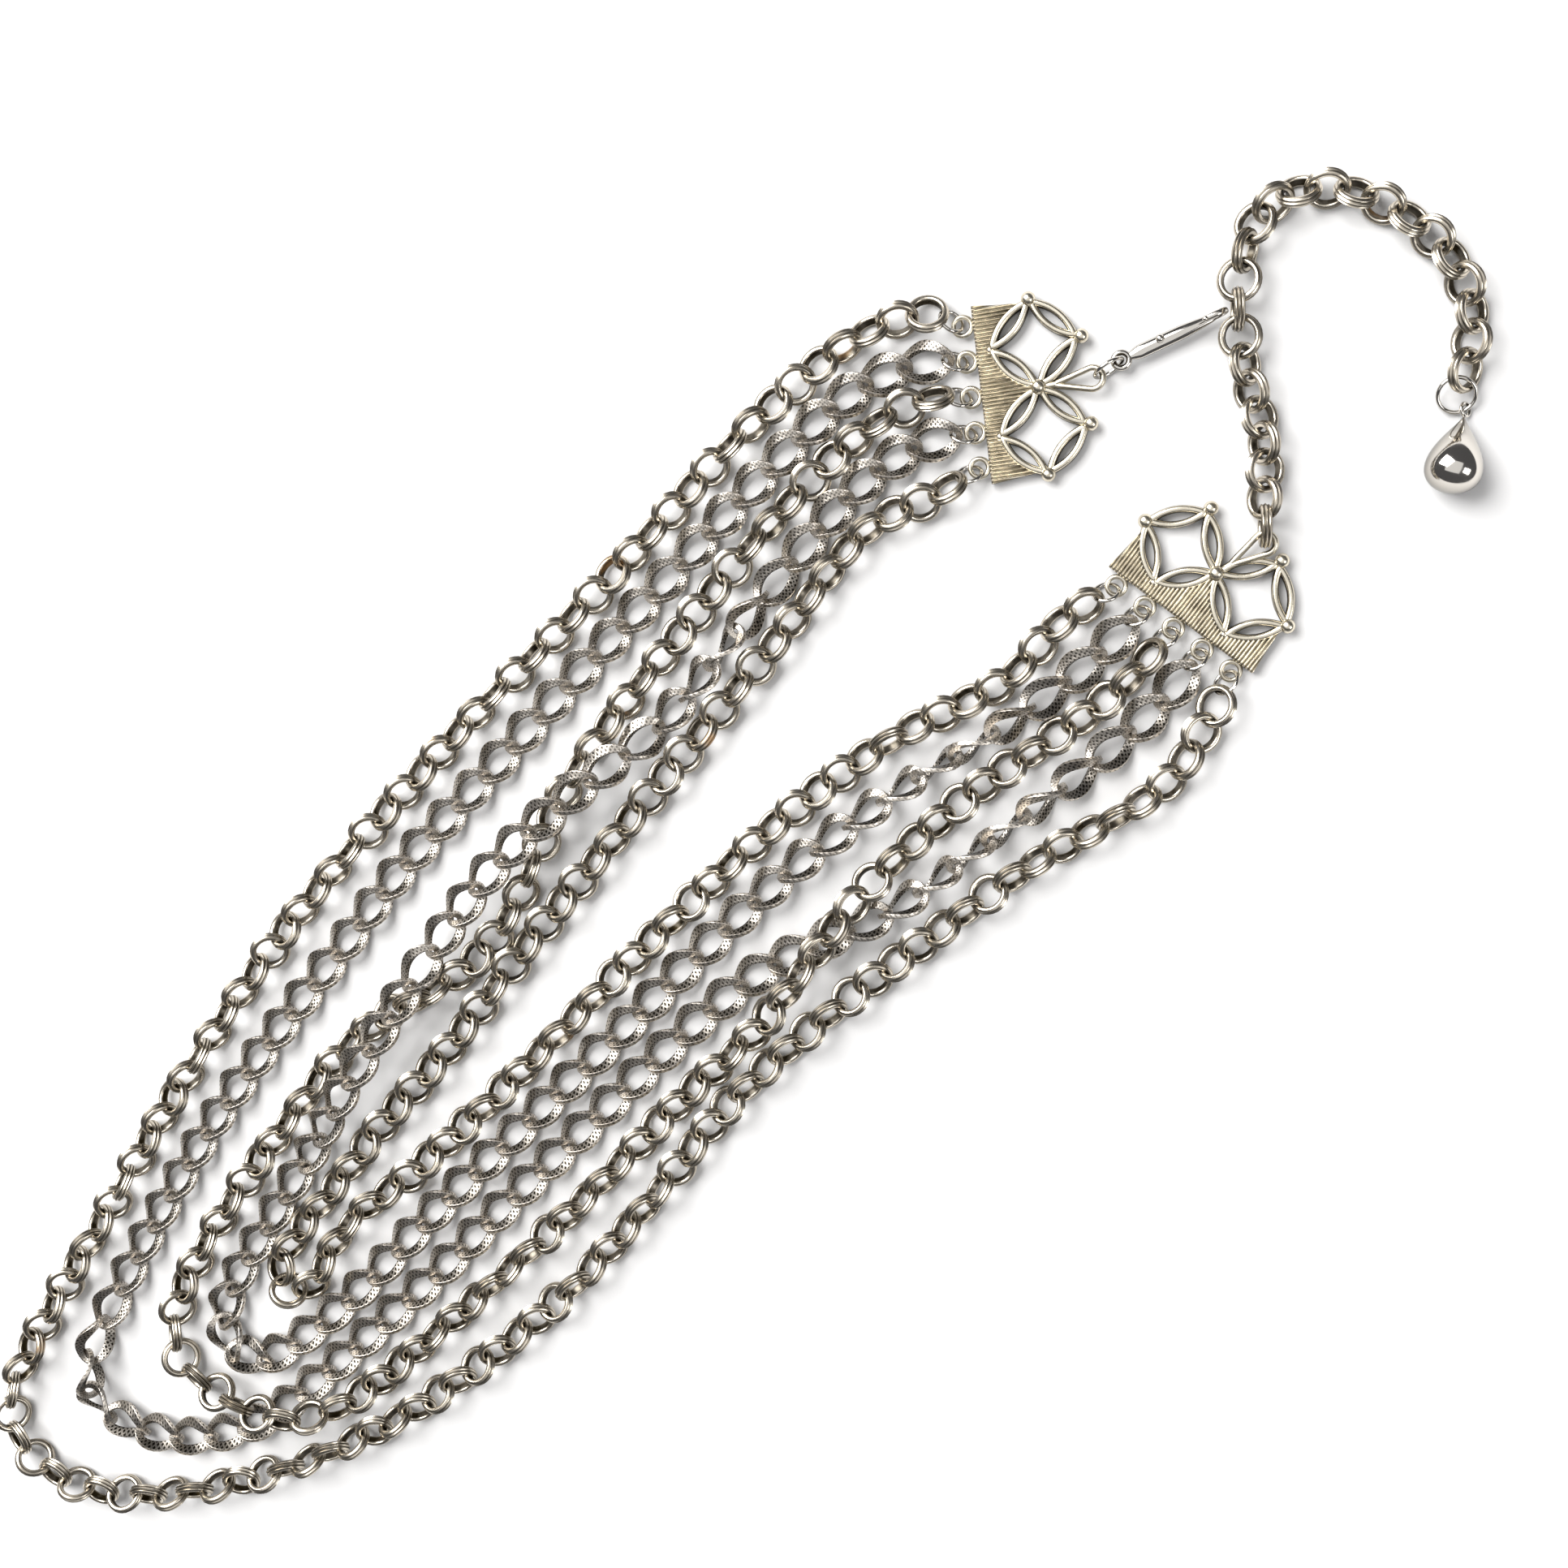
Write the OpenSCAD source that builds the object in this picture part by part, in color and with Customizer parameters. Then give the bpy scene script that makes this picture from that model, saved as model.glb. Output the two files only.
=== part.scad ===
// Festoon necklace: five graduated chains between two openwork end plates,
// closed by a hook on an extender chain with a pear drop. It lies flat on a surface.
// The origin is the centre of the whole piece, on the surface. +Y runs from the low
// end of the festoon towards the clasp, +X to the wearer's left, +Z is up.

/* [End plates] */
// Length of the ribbed edge that carries the strands
plate_length = 25; // [24:0.5:27]
// Thickness of the cast plates
plate_thickness = 1.4; // [1.2:0.1:1.8]
// Half the diagonal of each square of navettes
square_half = 6.1; // [5.9:0.1:6.3]
// Width of one open navette
navette_width = 3; // [2.6:0.1:3.4]
// Width of the metal around a navette's opening
navette_rim = 0.75; // [0.6:0.05:0.9]
// Width of the bare ribbed bar below the squares
bar_width = 2; // [1.6:0.1:2.4]
// Spacing of the ribs
rib_pitch = 0.84; // [0.7:0.02:1.2]
// Height of the ribs above the bar
rib_height = 0.3; // [0.2:0.05:0.4]
// Diameter of the balls at the corners
ball_d = 2.2; // [2:0.1:2.4]
// Spacing of the rings along the ribbed edge
ring_pitch = 5; // [4.8:0.1:5.2]
// Outer diameter of those rings
ring_d = 3.3; // [3:0.1:3.5]
// Wire of those rings
ring_wire = 0.7; // [0.56:0.02:0.76]
// Length of the pear loop from the centre ball to its round end
loop_length = 9.6; // [9:0.1:10.5]
// Width of the pear loop
loop_width = 3.8; // [3.4:0.1:4.4]
// Width of the metal of the pear loop
loop_wire = 0.85; // [0.7:0.05:0.9]

/* [Curb chains] */
// Length of a curb link outside
curb_length = 8.5; // [8.3:0.1:8.8]
// Width of a curb link outside
curb_width = 6.2; // [5.9:0.1:6.4]
// Thickness of the flat curb wire
curb_wire = 0.62; // [0.56:0.02:0.7]
// Breadth of the flat curb wire at a link's sides, where it lies face up
curb_breadth = 1.5; // [1.2:0.1:1.6]
// Breadth of that wire at a link's ends
curb_end_breadth = 0.8; // [0.7:0.05:0.9]
// Twist of a curb link, each way from its middle
curb_twist = 49; // [47:1:52]

/* [Rolo chains] */
// Outer diameter of a rolo link
rolo_d = 6.2; // [6:0.1:6.4]
// Thickness of the ribbed rolo wire
rolo_wire = 0.8; // [0.7:0.05:0.85]
// Breadth of the ribbed rolo wire
rolo_breadth = 1.3; // [1.1:0.1:1.4]
// Diameter of the plain body that stands for a rolo strand
rolo_body_d = 4.2; // [3.8:0.1:4.4]

/* [Connecting rings] */
// Outer diameter of a connecting ring
joiner_d = 4.2; // [4:0.1:4.6]
// Outer diameter of the ring that carries the hook
hook_ring_d = 4.9; // [4.6:0.1:5.2]
// Round wire of the connecting rings
joiner_wire = 0.58; // [0.5:0.02:0.62]

/* [Hook] */
// Length of the hook from the middle of its eye to its bend
hook_length = 13.9; // [13.5:0.1:14.5]
// Thickest part of the hook's bar
hook_bar = 1.9; // [1.4:0.1:2]
// Wire at the hook's eye and bend
hook_wire = 0.85; // [0.8:0.05:1]
// Outer diameter of the hook's eye
eye_d = 3; // [2.8:0.1:3.4]

/* [Drop] */
// Length of the pear drop without its loop
drop_length = 9.8; // [9:0.2:12]
// Largest diameter of the pear drop
drop_d = 7.6; // [7:0.1:8.4]
// Outer diameter of the ring that carries the drop
drop_ring_d = 5.5; // [5.2:0.1:5.8]
// Round wire of that ring
drop_ring_wire = 0.56; // [0.5:0.02:0.6]

/* [Hidden] */

// Gap left between neighbouring pieces
gap = 0.15;
// Play of a ring or link in the next one, of the twisted curb links, of the first link of the
// extender in its plate's loop, and of its last link on the ring of the drop
play = 0.12;
link_play = 0.3;
curb_play = 0.5;
first_play = 0.96;
end_play = 1.1;
// Millimetres by which links sit closer together for each radian of a bend
bend_play = 1.4;
// Lean of rolo links out of the surface; each is square to the last
rolo_lean = 45;
// Sides around a chain link
link_sides = 10;
// Sides of the plain strand bodies, with a ring every so many steps of the route's curve
body_sides = 8;
body_step = 4;
// Steps of the curve between two route points
route_steps = 8;

// Where the plates lie: the middle of the ribbed edge and its direction
left_place = [-22.6, 58.5];
left_angle = -34.5;
right_place = [19.8, 58.4];
right_angle = 11.5;
// The right plate's loop leans over as the extender pulls it
right_lean = -21;
// Height of the plates' middle, so that the balls rest on the surface
mid_z = ball_d / 2;
// Middle of the whole piece, in the coordinates of the routes and places
home = [-2.61, -27.52];
module laid() {
    translate([-home[0], -home[1], 0]) children();
}

// Routes of the strands between the two plates, outer to inner. Columns: x, y, how far the
// strand is raised over another one (1 is just clear of it), and its turn in degrees.
route_1 = [
    [-37, 59.5, 0, 0], [-41, 49, 0, 0], [-42, 30, 0, 0], [-40.5, 8, 0, 0], [-39.5, -11, 0, 0],
    [-39, -30, 0, 0], [-37.5, -52, 0, 0], [-35.5, -72, 0, 0], [-32, -91, 0, 0], [-27, -112, 0, 0],
    [-21.5, -131, 0, 0], [-16.5, -149, 0, 0], [-13, -160, 0, 0], [-9.5, -167.5, 0, 0],
    [-3.5, -172, 0, 0], [6, -170.5, 0, 0], [14.5, -164, 0, 0], [22, -153, 0, 0], [29.5, -136, 0, 0],
    [34.5, -117, 0, 0], [36.5, -98, 0, 0], [36.5, -78, 0, 0], [34, -58, 0, 0], [30.5, -38, 0, 0],
    [30, -18, 0, 0], [31, 1, 0, 0], [32.5, 20, 0, 0], [36, 40, 0, 0], [33.5, 51, 0, 0]];
route_2 = [
    [-32.5, 54, 0, 0], [-35.8, 43, 0, 0], [-35.5, 24, 0, 0], [-34.2, 5, 0, 0], [-33, -14, 0, 0],
    [-31.5, -34, 0, 0], [-30, -53, 0, 0], [-27, -72, 0, 0], [-24, -91, 0, 0], [-20, -110, 0, 0],
    [-14.5, -129, 0, 0], [-9.5, -143, 0, -20], [-5, -151.5, 0, -50], [1, -155.8, 0, -80],
    [9, -153.3, 0, -115], [16, -146, 0, -150], [20.5, -136, 0, -180], [21.5, -125, 0, -180],
    [21.5, -110, 0, -180], [21, -92, 0, -180], [20, -78, 0, -180], [19, -58, 0, -180],
    [18, -38, 0, -180], [18.5, -23, 0, -180], [21, -12, 0, -180], [24.5, 1, 0, -225],
    [25.7, 16, 0, -270], [26.9, 30, 0, -310], [27.2, 40, 0, -340], [26.8, 49, 0, -360]];
route_3 = [
    [-28, 51, 0, 0], [-30.3, 39, 0, 0], [-29.2, 20, 0, 0], [-26.6, 2, 0, 0], [-24, -15, 0, 0],
    [-21, -27, 0, 0], [-17.5, -35, 0, 0], [-13.5, -44, 0, 0], [-11.5, -53, 0, 0], [-12, -62, 0, 0],
    [-14.5, -73, 0, 0], [-14.5, -84, 0, 0], [-12.5, -96, 0, 0], [-9.5, -111, 0, 0], [-6, -124, 0, 0],
    [-1.5, -134, 0, 0], [5.5, -139, 0, 0], [13.5, -136.5, 0.4, 0], [19.5, -132, 1.1, 0],
    [24.5, -127, 1, 0], [27.8, -119, 0, 0], [28.3, -102, 0, 0], [28, -82, 0, 0], [27, -62, 0, 0],
    [25.5, -44, 0, 0], [24.8, -28, 0.5, 0], [22.8, -17, 1.1, 0], [20.2, -5, 1.1, 0], [19.1, 4, 0.3, 0],
    [19.1, 20, 0, 0], [20.9, 36, 0, 0], [21.5, 46, 0, 0]];
route_4 = [
    [-23.5, 47, 0, 0], [-25, 36, 0, -20], [-22.8, 19, 0, -65], [-20.5, 5, 0, -105],
    [-19, -8, 0, -150], [-19.2, -17, 0.8, -175], [-19.8, -26, 1, -180], [-20, -35, 1, -180],
    [-19.3, -45, 0.9, -180], [-17.4, -55, 0.7, -180], [-15, -64, 1, -180], [-12.5, -74, 1, -180],
    [-10.2, -83, 1, -180], [-7.8, -92, 0.5, -180], [-5.8, -100, 0, -180], [-2.4, -112, 0, -180],
    [0.3, -121.5, 0, -180], [3.6, -127.8, 0, -180], [8.4, -130.6, 0, -180],
    [13.2, -127.6, 0, -180], [14.8, -119, 0, -180], [15, -106, 0, -180], [13.5, -88, 0, -180],
    [12.5, -66, 0, -180], [11.5, -45, 0, -180], [10.3, -24, 0, -180], [10.2, -5, 0, -200],
    [12, 14, 0, -245], [14.8, 30, 0, -300], [16, 45, 0, -350]];
route_5 = [
    [-16.5, 44, 0, 0], [-19.5, 33, 0, 0], [-16.5, 14, 0, 0], [-13.3, -8, 0, 0], [-10.5, -28, 0, 0],
    [-7.5, -48, 0, 0], [-4, -68, 0, 0], [-2, -85, 0, 0], [0, -96, 0, 0], [1.5, -106, 0, 0],
    [3.5, -113, 0, 0], [6.4, -116, 0, 0], [9.2, -114.5, 0, 0], [9.2, -110.5, 0, 0], [7, -104, 0, 0],
    [6, -96, 0, 0], [6.8, -88, 0, 0], [6.7, -78, 0, 0], [6.3, -64, 0, 0], [5, -44, 0, 0],
    [4, -25, 0, 0], [3.7, -4, 0, 0], [5.5, 16, 0, 0], [10, 34, 0, 0], [9, 45, 0, 0]];
// Route of the extender from the right plate's loop to the ring of the drop
extender_first_turn = 45;
route_extender = [
    [13.9, 78.5, 0, 15], [8, 83.3, 0, 5], [0, 87.2, 0, 20], [-7.2, 91.8, 0, 45], [-12.3, 97.3, 0, 20],
    [-14.8, 103, 0, 5], [-13.2, 108.5, 0, 0], [-8.5, 113, 0, 0], [-2, 115.6, 0, 0], [5, 116.6, 0, 0],
    [12, 115, 0, 0], [17.3, 111, 0, 0]];
// The link in which the hook is caught
caught_link = [-7.2, 91.8];
// Direction in which the extender leaves the right plate's loop
extender_angle = 140;
// Middle of the drop ring, the direction in which it slopes down, and where the drop points
drop_ring_place = [21.2, 105.5];
drop_ring_angle = -45;
drop_angle = -54;
// The plates' loops rise by this much, so that a ring passes under their round ends
loop_rise = 8;

// Centre line half sizes of the links, and how far apart two linked ones can pull
curb_half = [(curb_length - curb_end_breadth) / 2, (curb_width - curb_breadth) / 2];
rolo_half = [(rolo_d - rolo_wire) / 2, (rolo_d - rolo_wire) / 2];
joiner_r = (joiner_d - joiner_wire) / 2;
hook_ring_r = (hook_ring_d - joiner_wire) / 2;
drop_ring_r = (drop_ring_d - drop_ring_wire) / 2;
curb_reach = 2 * curb_half[0] - curb_end_breadth - curb_play;
rolo_reach = 2 * rolo_half[0] - rolo_wire - link_play;
ring_r = (ring_d - ring_wire) / 2;
joiner_step = joiner_r - play;
curb_start = joiner_step + joiner_r + curb_half[0] - (joiner_wire + curb_end_breadth) / 2 - curb_play;
body_start = joiner_step + joiner_d / 2 + gap;
// The rings stand off the ribbed edge by this much
ring_out = ring_r + ring_wire / 4;
// The connecting rings tilt by this much out of the surface
joiner_tilt = 46;
joiner_slope = 24;
joiner_z = joiner_r * norm([sin(joiner_tilt) * cos(joiner_slope), sin(joiner_slope)])
    + joiner_wire / 2 + 0.02;

// Sections of the wires: out from the link's middle, and along the link's axis
curb_section = [
    [-curb_breadth / 2, -curb_wire / 2], [-curb_breadth / 2, curb_wire / 2],
    [curb_breadth / 2, curb_wire / 2], [curb_breadth / 2, -curb_wire / 2]];
curb_narrower = 1 - curb_end_breadth / curb_breadth;
rolo_section = [
    [-rolo_wire / 2, -rolo_breadth / 2], [-rolo_wire / 2, rolo_breadth / 2],
    [rolo_wire / 5, rolo_breadth / 2], [rolo_wire / 2, 0], [rolo_wire / 5, -rolo_breadth / 2]];
// Smooth curve through a route's points
function bend(a, b, c, d, t) =
    0.5 * (2 * b + (c - a) * t + (2 * a - 5 * b + 4 * c - d) * t * t
           + (3 * b - a - 3 * c + d) * t * t * t);
function curve(p) = concat(
    [for (i = [0 : len(p) - 2]) for (k = [0 : route_steps - 1])
        bend(p[max(i - 1, 0)], p[i], p[i + 1], p[min(i + 2, len(p) - 1)], k / route_steps)],
    [p[len(p) - 1]]);
function spot(p) = [p[0], p[1], p[2]];
// Angle between two directions, in radians
function angle_of(u, v) = atan2(norm(cross(u, v)), u * v) * PI / 180;
// Lengths along a curve; a bend counts for more, since links sit closer together in it
function lengths(c, closer) =
    let (steps = [for (i = [0 : len(c) - 2]) spot(c[i + 1]) - spot(c[i])])
    [for (i = 0, d = 0; i < len(c);
          d = i < len(c) - 1
              ? d + norm(steps[i]) + (i > 0 ? closer * angle_of(steps[i - 1], steps[i]) : 0)
              : d,
          i = i + 1) d];
// A route as one table for each of x, y, z and turn, against the length along it; the height
// follows from how high the chain lies at its turn, and from how far it is raised
function track(p, lies, over, closer) =
    let (c = [for (q = curve(p))
             [q[0], q[1], lookup((q[3] % 180 + 180) % 180, lies) + max(0, q[2]) * over, q[3]]],
         d = lengths(c, closer))
    [for (j = [0 : 3]) [for (i = [0 : len(c) - 1]) [d[i], c[i][j]]]];
function track_length(t) = t[0][len(t[0]) - 1][0];
function at(t, s) = [lookup(s, t[0]), lookup(s, t[1]), lookup(s, t[2])];
function turn_at(t, s) = lookup(s, t[3]);

// A place on a plate, from its own coordinates
function plate_spot(place, angle, p) =
    [place[0] + p[0] * cos(angle) - p[1] * sin(angle), place[1] + p[0] * sin(angle) + p[1] * cos(angle)];
function left_ring(n) = plate_spot(left_place, left_angle, [(n - 3) * ring_pitch, -ring_out]);
function right_ring(n) = plate_spot(right_place, right_angle, [(3 - n) * ring_pitch, -ring_out]);
// A strand's route from ring to ring; a curb chain's ends are lifted by their connecting rings
joiner_lift = 0.2;
function between(n, rows, lift) = let (a = left_ring(n), b = right_ring(n))
    concat([[a[0], a[1], lift, rows[0][3]]], rows, [[b[0], b[1], lift, rows[len(rows) - 1][3]]]);

// Directions of a chain at a place: along it, and the link's own side and axis
function unit(v) = v / norm(v);
function along(t, s, h) = unit(at(t, s + h) - at(t, s - h));
function side_of(d) = unit(cross([0, 0, 1], d));
function rolled(d, turn) = let (s = side_of(d), u = cross(d, s))
    [s * cos(turn) + u * sin(turn), u * cos(turn) - s * sin(turn)];

// Points of one link: an oval of the given half sizes, twisted about its length; the wire is
// narrower at its ends, by a share of its breadth
function link_points(middle, d, turn, half, section, sides, twist, narrower) =
    let (f = rolled(d, turn))
    [for (i = [0 : sides - 1])
        let (a = 360 * (i + 0.5) / sides,
             n = unit([half[1] * cos(a), half[0] * sin(a)]),
             w = twist * cos(a),
             share = 1 - narrower * pow(cos(a), 2))
        for (q = section)
            let (x = half[0] * cos(a) + share * q[0] * n[0],
                 y = half[1] * sin(a) + share * q[0] * n[1],
                 z = q[1])
            middle + d * x + f[0] * (y * cos(w) - z * sin(w)) + f[1] * (y * sin(w) + z * cos(w))];
// How high the middle of a chain lies, from the lowest point of a link at its turn
function reach_down(turn, half, section, twist, narrower) =
    max([for (p = link_points([0, 0, 0], [1, 0, 0], turn, half, section, link_sides, twist, narrower))
         -p[2]]);
function curb_lie(turn) = reach_down(turn, curb_half, curb_section, curb_twist, curb_narrower);
function rolo_lie(turn) = max(reach_down(turn - rolo_lean, rolo_half, rolo_section, 0, 0),
                              reach_down(turn + rolo_lean, rolo_half, rolo_section, 0, 0));
curb_lies = [for (w = [0 : 10 : 180]) [w, curb_lie(w)]];
rolo_lies = [for (w = [0 : 10 : 180]) [w, rolo_lie(w)]];
body_lies = [[0, rolo_body_d / 2]];
// Heights by which a strand is raised to clear the other kind
over_curb = 2 * curb_lie(0) + gap;
over_rolo = rolo_body_d + gap;
// Faces of closed rings of points, for any number of links
function ring_faces(count, sides, m) =
    [for (k = [0 : count - 1]) for (i = [0 : sides - 1]) for (j = [0 : m - 1])
        let (base = k * sides * m,
             a = base + i * m + j,
             b = base + i * m + (j + 1) % m,
             c = base + (i + 1) % sides * m + (j + 1) % m,
             e = base + (i + 1) % sides * m + j)
        for (f = [[a, c, b], [a, e, c]]) f];

// A chain laid along a track, with a link at each station and every other link turned;
// no link sinks below the surface
module chain(t, stations, half, section, step_turn, first_turn, twist, narrower) {
    points = [for (k = [0 : len(stations) - 1])
        let (link = link_points(at(t, stations[k]), along(t, stations[k], half[0]),
                                turn_at(t, stations[k]) + first_turn + (k % 2) * step_turn,
                                half, section, link_sides, twist, narrower),
             sunk = min([for (p = link) p[2]]))
        for (p = link) [p[0], p[1], p[2] - min(sunk, 0)]];
    polyhedron(points, ring_faces(len(stations), link_sides, len(section)));
}
// Equal steps from one length to another, none longer than the links can reach
function stations(from, to, reach) = let (n = ceil((to - from) / reach))
    [for (k = [0 : n]) from + k * (to - from) / n];

// Ring of round wire, with one direction it holds and its turn about that direction
module wire_ring(middle, d, turn, r, wire) {
    translate(middle)
    rotate([0, -asin(d[2]), atan2(d[1], d[0])])
    rotate([turn, 0, 0])
    rotate_extrude($fn = 48)
    translate([r, 0])
    circle(d = wire, $fn = 24);
}

// Plain round body along a track, for the strands whose links are too fine for this model
module strand_body(t) {
    c = [for (i = [0 : body_step : len(t[0]) - 1]) t[0][i][0]];
    last_s = track_length(t) - body_start;
    inner = [for (s = c) if (s > body_start + rolo_body_d / 3 && s < last_s - rolo_body_d / 3) s];
    places = concat([body_start], inner, [last_s]);
    count = len(places);
    r = rolo_body_d / 2 / cos(180 / body_sides);
    points = [for (s = places)
        let (d = along(t, s, 0.5), f = rolled(d, 0))
        for (j = [0 : body_sides - 1])
            let (a = 360 * (j + 0.5) / body_sides)
            at(t, s) + r * (f[0] * cos(a) + f[1] * sin(a))];
    walls = [for (k = [0 : count - 2]) for (j = [0 : body_sides - 1])
        let (a = k * body_sides + j,
             b = k * body_sides + (j + 1) % body_sides,
             c = b + body_sides,
             e = a + body_sides)
        for (f = [[a, c, b], [a, e, c]]) f];
    first = [for (j = [1 : body_sides - 2]) [0, j, j + 1]];
    base = (count - 1) * body_sides;
    last = [for (j = [1 : body_sides - 2]) [base, base + j + 1, base + j]];
    polyhedron(points, concat(walls, first, last));
}

track_1 = track(between(1, route_1, 0), body_lies, over_curb, 0);
track_2 = track(between(2, route_2, joiner_lift), curb_lies, over_rolo, bend_play);
track_3 = track(between(3, route_3, 0), body_lies, over_curb, 0);
track_4 = track(between(4, route_4, joiner_lift), curb_lies, over_rolo, bend_play);
track_5 = track(between(5, route_5, 0), body_lies, over_curb, 0);

// Ends of the plates' loops: the middle of the round end, with its height
ball_v = bar_width + square_half;
loop_round = loop_length - loop_width / 2;
loop_bow = (loop_width - loop_wire) / 2;
loop_z = mid_z + loop_round * sin(loop_rise);
function toward(angle) = [cos(angle), sin(angle)];
function loop_spot(place, angle, lean) =
    plate_spot(place, angle, [0, ball_v]) + loop_round * cos(loop_rise) * toward(angle + 90 + lean);

// Extender: from the right plate's loop through the link on the hook to the drop ring
extender_start = loop_spot(right_place, right_angle, right_lean)
    + (loop_bow + rolo_half[0] - (loop_wire + rolo_wire) / 2 - first_play) * toward(extender_angle);
extender_track = track(concat(
    [[extender_start[0], extender_start[1], 0, extender_first_turn]],
    route_extender,
    [[drop_ring_place[0], drop_ring_place[1], 0, 0]]), rolo_lies, 0, bend_play);
extender_end = track_length(extender_track)
    - drop_ring_r - rolo_half[0] + (drop_ring_wire + rolo_wire) / 2 + end_play;
caught = [for (i = [0 : len(extender_track[0]) - 1])
    if (extender_track[0][i][1] == caught_link[0] && extender_track[1][i][1] == caught_link[1])
        extender_track[0][i][0]][0];
to_hook = stations(0, caught, rolo_reach);
from_hook = stations(caught, extender_end, rolo_reach);
extender_stations = concat(to_hook, [for (k = [1 : len(from_hook) - 1]) from_hook[k]]);

// Navette: a pointed oval between two corners, from two arcs
module navette(length, width) {
    r = (length * length + width * width) / (4 * width);
    intersection() {
        translate([0, r - width / 2]) circle(r = r, $fn = 96);
        translate([0, width / 2 - r]) circle(r = r, $fn = 96);
    }
}

// What lies along the line between two corners of a square
navette_length = square_half * sqrt(2) - 0.4 * ball_d;
module along_edge(a, b) {
    d = b - a;
    translate([(a[0] + b[0]) / 2, (a[1] + b[1]) / 2, 0])
    rotate([0, 0, atan2(d[1], d[0])])
    children();
}

// A navette's opening
module navette_opening() {
    navette(navette_length - 3.2 * navette_rim, navette_width - 2 * navette_rim);
}

// One open navette of the openwork
module open_navette() {
    linear_extrude(plate_thickness, center = true)
    difference() {
        navette(navette_length, navette_width);
        navette_opening();
    }
}

// Corners of one square of navettes, on the left or the right of the middle
function square_corners(m) = let (s = square_half, v = ball_v)
    [[m * s, v - s], [m * 2 * s, v], [m * s, v + s], [0, v]];

// Ribbed sheet: a bar along the edge that rises between the squares
module ribbed_sheet() {
    h = plate_length / 2;
    rise = ball_v - 0.6;
    s = square_half;
    ribs = floor(plate_length / rib_pitch);
    edge = (plate_length - ribs * rib_pitch) / 2;
    intersection() {
        linear_extrude(2 * plate_thickness + 2 * rib_height, center = true)
        polygon([
            [-h, 0], [h, 0], [2 * s - 0.3, rise], [s, bar_width - 0.2],
            [0.3, rise], [-0.3, rise], [-s, bar_width - 0.2], [0.3 - 2 * s, rise]]);
        translate([0, -1, 0])
        rotate([90, 0, 180])
        linear_extrude(rise + 2)
        translate([-h, 0])
        polygon(concat(
            [[2 * h, -plate_thickness / 2], [0, -plate_thickness / 2]],
            [for (k = [0 : ribs - 1]) for (p = [[0, 0], [0.2, 1], [0.65, 1], [0.85, 0]])
                [edge + (k + p[0]) * rib_pitch, plate_thickness / 2 - 0.1 + p[1] * rib_height]],
            [[2 * h, plate_thickness / 2 - 0.1]]));
    }
}

// Pear loop: a teardrop of wire that starts at the centre ball
module pear_loop(lean) {
    module pear(inset) {
        r = loop_width / 2 - inset;
        c = loop_length - loop_width / 2;
        tip = 1.2 + 2.2 * inset;
        a = acos(r / (c - tip));
        translate([0, c]) circle(r = r, $fn = 64);
        polygon([[0, tip], [r * sin(a), c - r * cos(a)], [-r * sin(a), c - r * cos(a)]]);
    }
    translate([0, ball_v, 0])
    rotate([0, 0, lean])
    rotate([loop_rise, 0, 0])
    union() {
        linear_extrude(loop_wire, center = true)
        difference() {
            pear(0);
            pear(loop_wire);
        }
        translate([-loop_wire / 2, 0, -loop_wire / 2]) cube([loop_wire, 1.2 + 1.4 * loop_wire, loop_wire]);
    }
}

// One end plate in its own coordinates, its ribbed edge along X
module end_plate(lean) {
    s = square_half;
    v = ball_v;
    translate([0, 0, mid_z])
    union() {
        difference() {
            ribbed_sheet();
            for (m = [-1, 1]) for (k = [0, 3])
                along_edge(square_corners(m)[k], square_corners(m)[(k + 1) % 4])
                linear_extrude(4 * plate_thickness, center = true)
                navette_opening();
        }
        for (m = [-1, 1]) {
            for (k = [0 : 3])
                along_edge(square_corners(m)[k], square_corners(m)[(k + 1) % 4])
                open_navette();
            translate([m * 2 * s, v, 0]) sphere(d = ball_d, $fn = 32);
            translate([m * s, v + s + 0.6, 0]) sphere(d = ball_d, $fn = 32);
        }
        translate([0, v, 0]) sphere(d = ball_d, $fn = 32);
        pear_loop(lean);
        for (k = [-2 : 2])
            translate([k * ring_pitch, -ring_out, 0])
            rotate_extrude($fn = 48)
            translate([ring_r, 0])
            circle(d = ring_wire, $fn = 24);
    }
}

module plate_left() {
    color("silver")
    laid()
    translate([left_place[0], left_place[1], 0])
    rotate([0, 0, left_angle])
    end_plate(0);
}

module plate_right() {
    color("silver")
    laid()
    translate([right_place[0], right_place[1], 0])
    rotate([0, 0, right_angle])
    end_plate(right_lean);
}

module strand_1() {
    color("gainsboro") laid() strand_body(track_1);
}

module strand_2() {
    color("gray")
    laid()
    chain(track_2, stations(curb_start, track_length(track_2) - curb_start, curb_reach),
          curb_half, curb_section, 0, 0, curb_twist, curb_narrower);
}

module strand_3() {
    color("gainsboro") laid() strand_body(track_3);
}

module strand_4() {
    color("gray")
    laid()
    chain(track_4, stations(curb_start, track_length(track_4) - curb_start, curb_reach),
          curb_half, curb_section, 0, 0, curb_twist, curb_narrower);
}

module strand_5() {
    color("gainsboro") laid() strand_body(track_5);
}

tracks = [track_1, track_2, track_3, track_4, track_5];

// The five connecting rings at one plate; each slopes up from the plate to its strand
module joiners(at_start, tilt) {
    for (t = tracks) {
        s = at_start ? joiner_step : track_length(t) - joiner_step;
        p = at(t, s);
        d = along(t, s, joiner_r);
        slope = at_start ? joiner_slope : -joiner_slope;
        wire_ring([p[0], p[1], joiner_z], [d[0] * cos(slope), d[1] * cos(slope), sin(slope)],
                  tilt, joiner_r, joiner_wire);
    }
}

module joiners_left() {
    color("silver") laid() joiners(true, joiner_tilt);
}

module joiners_right() {
    color("silver") laid() joiners(false, -joiner_tilt);
}

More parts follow.
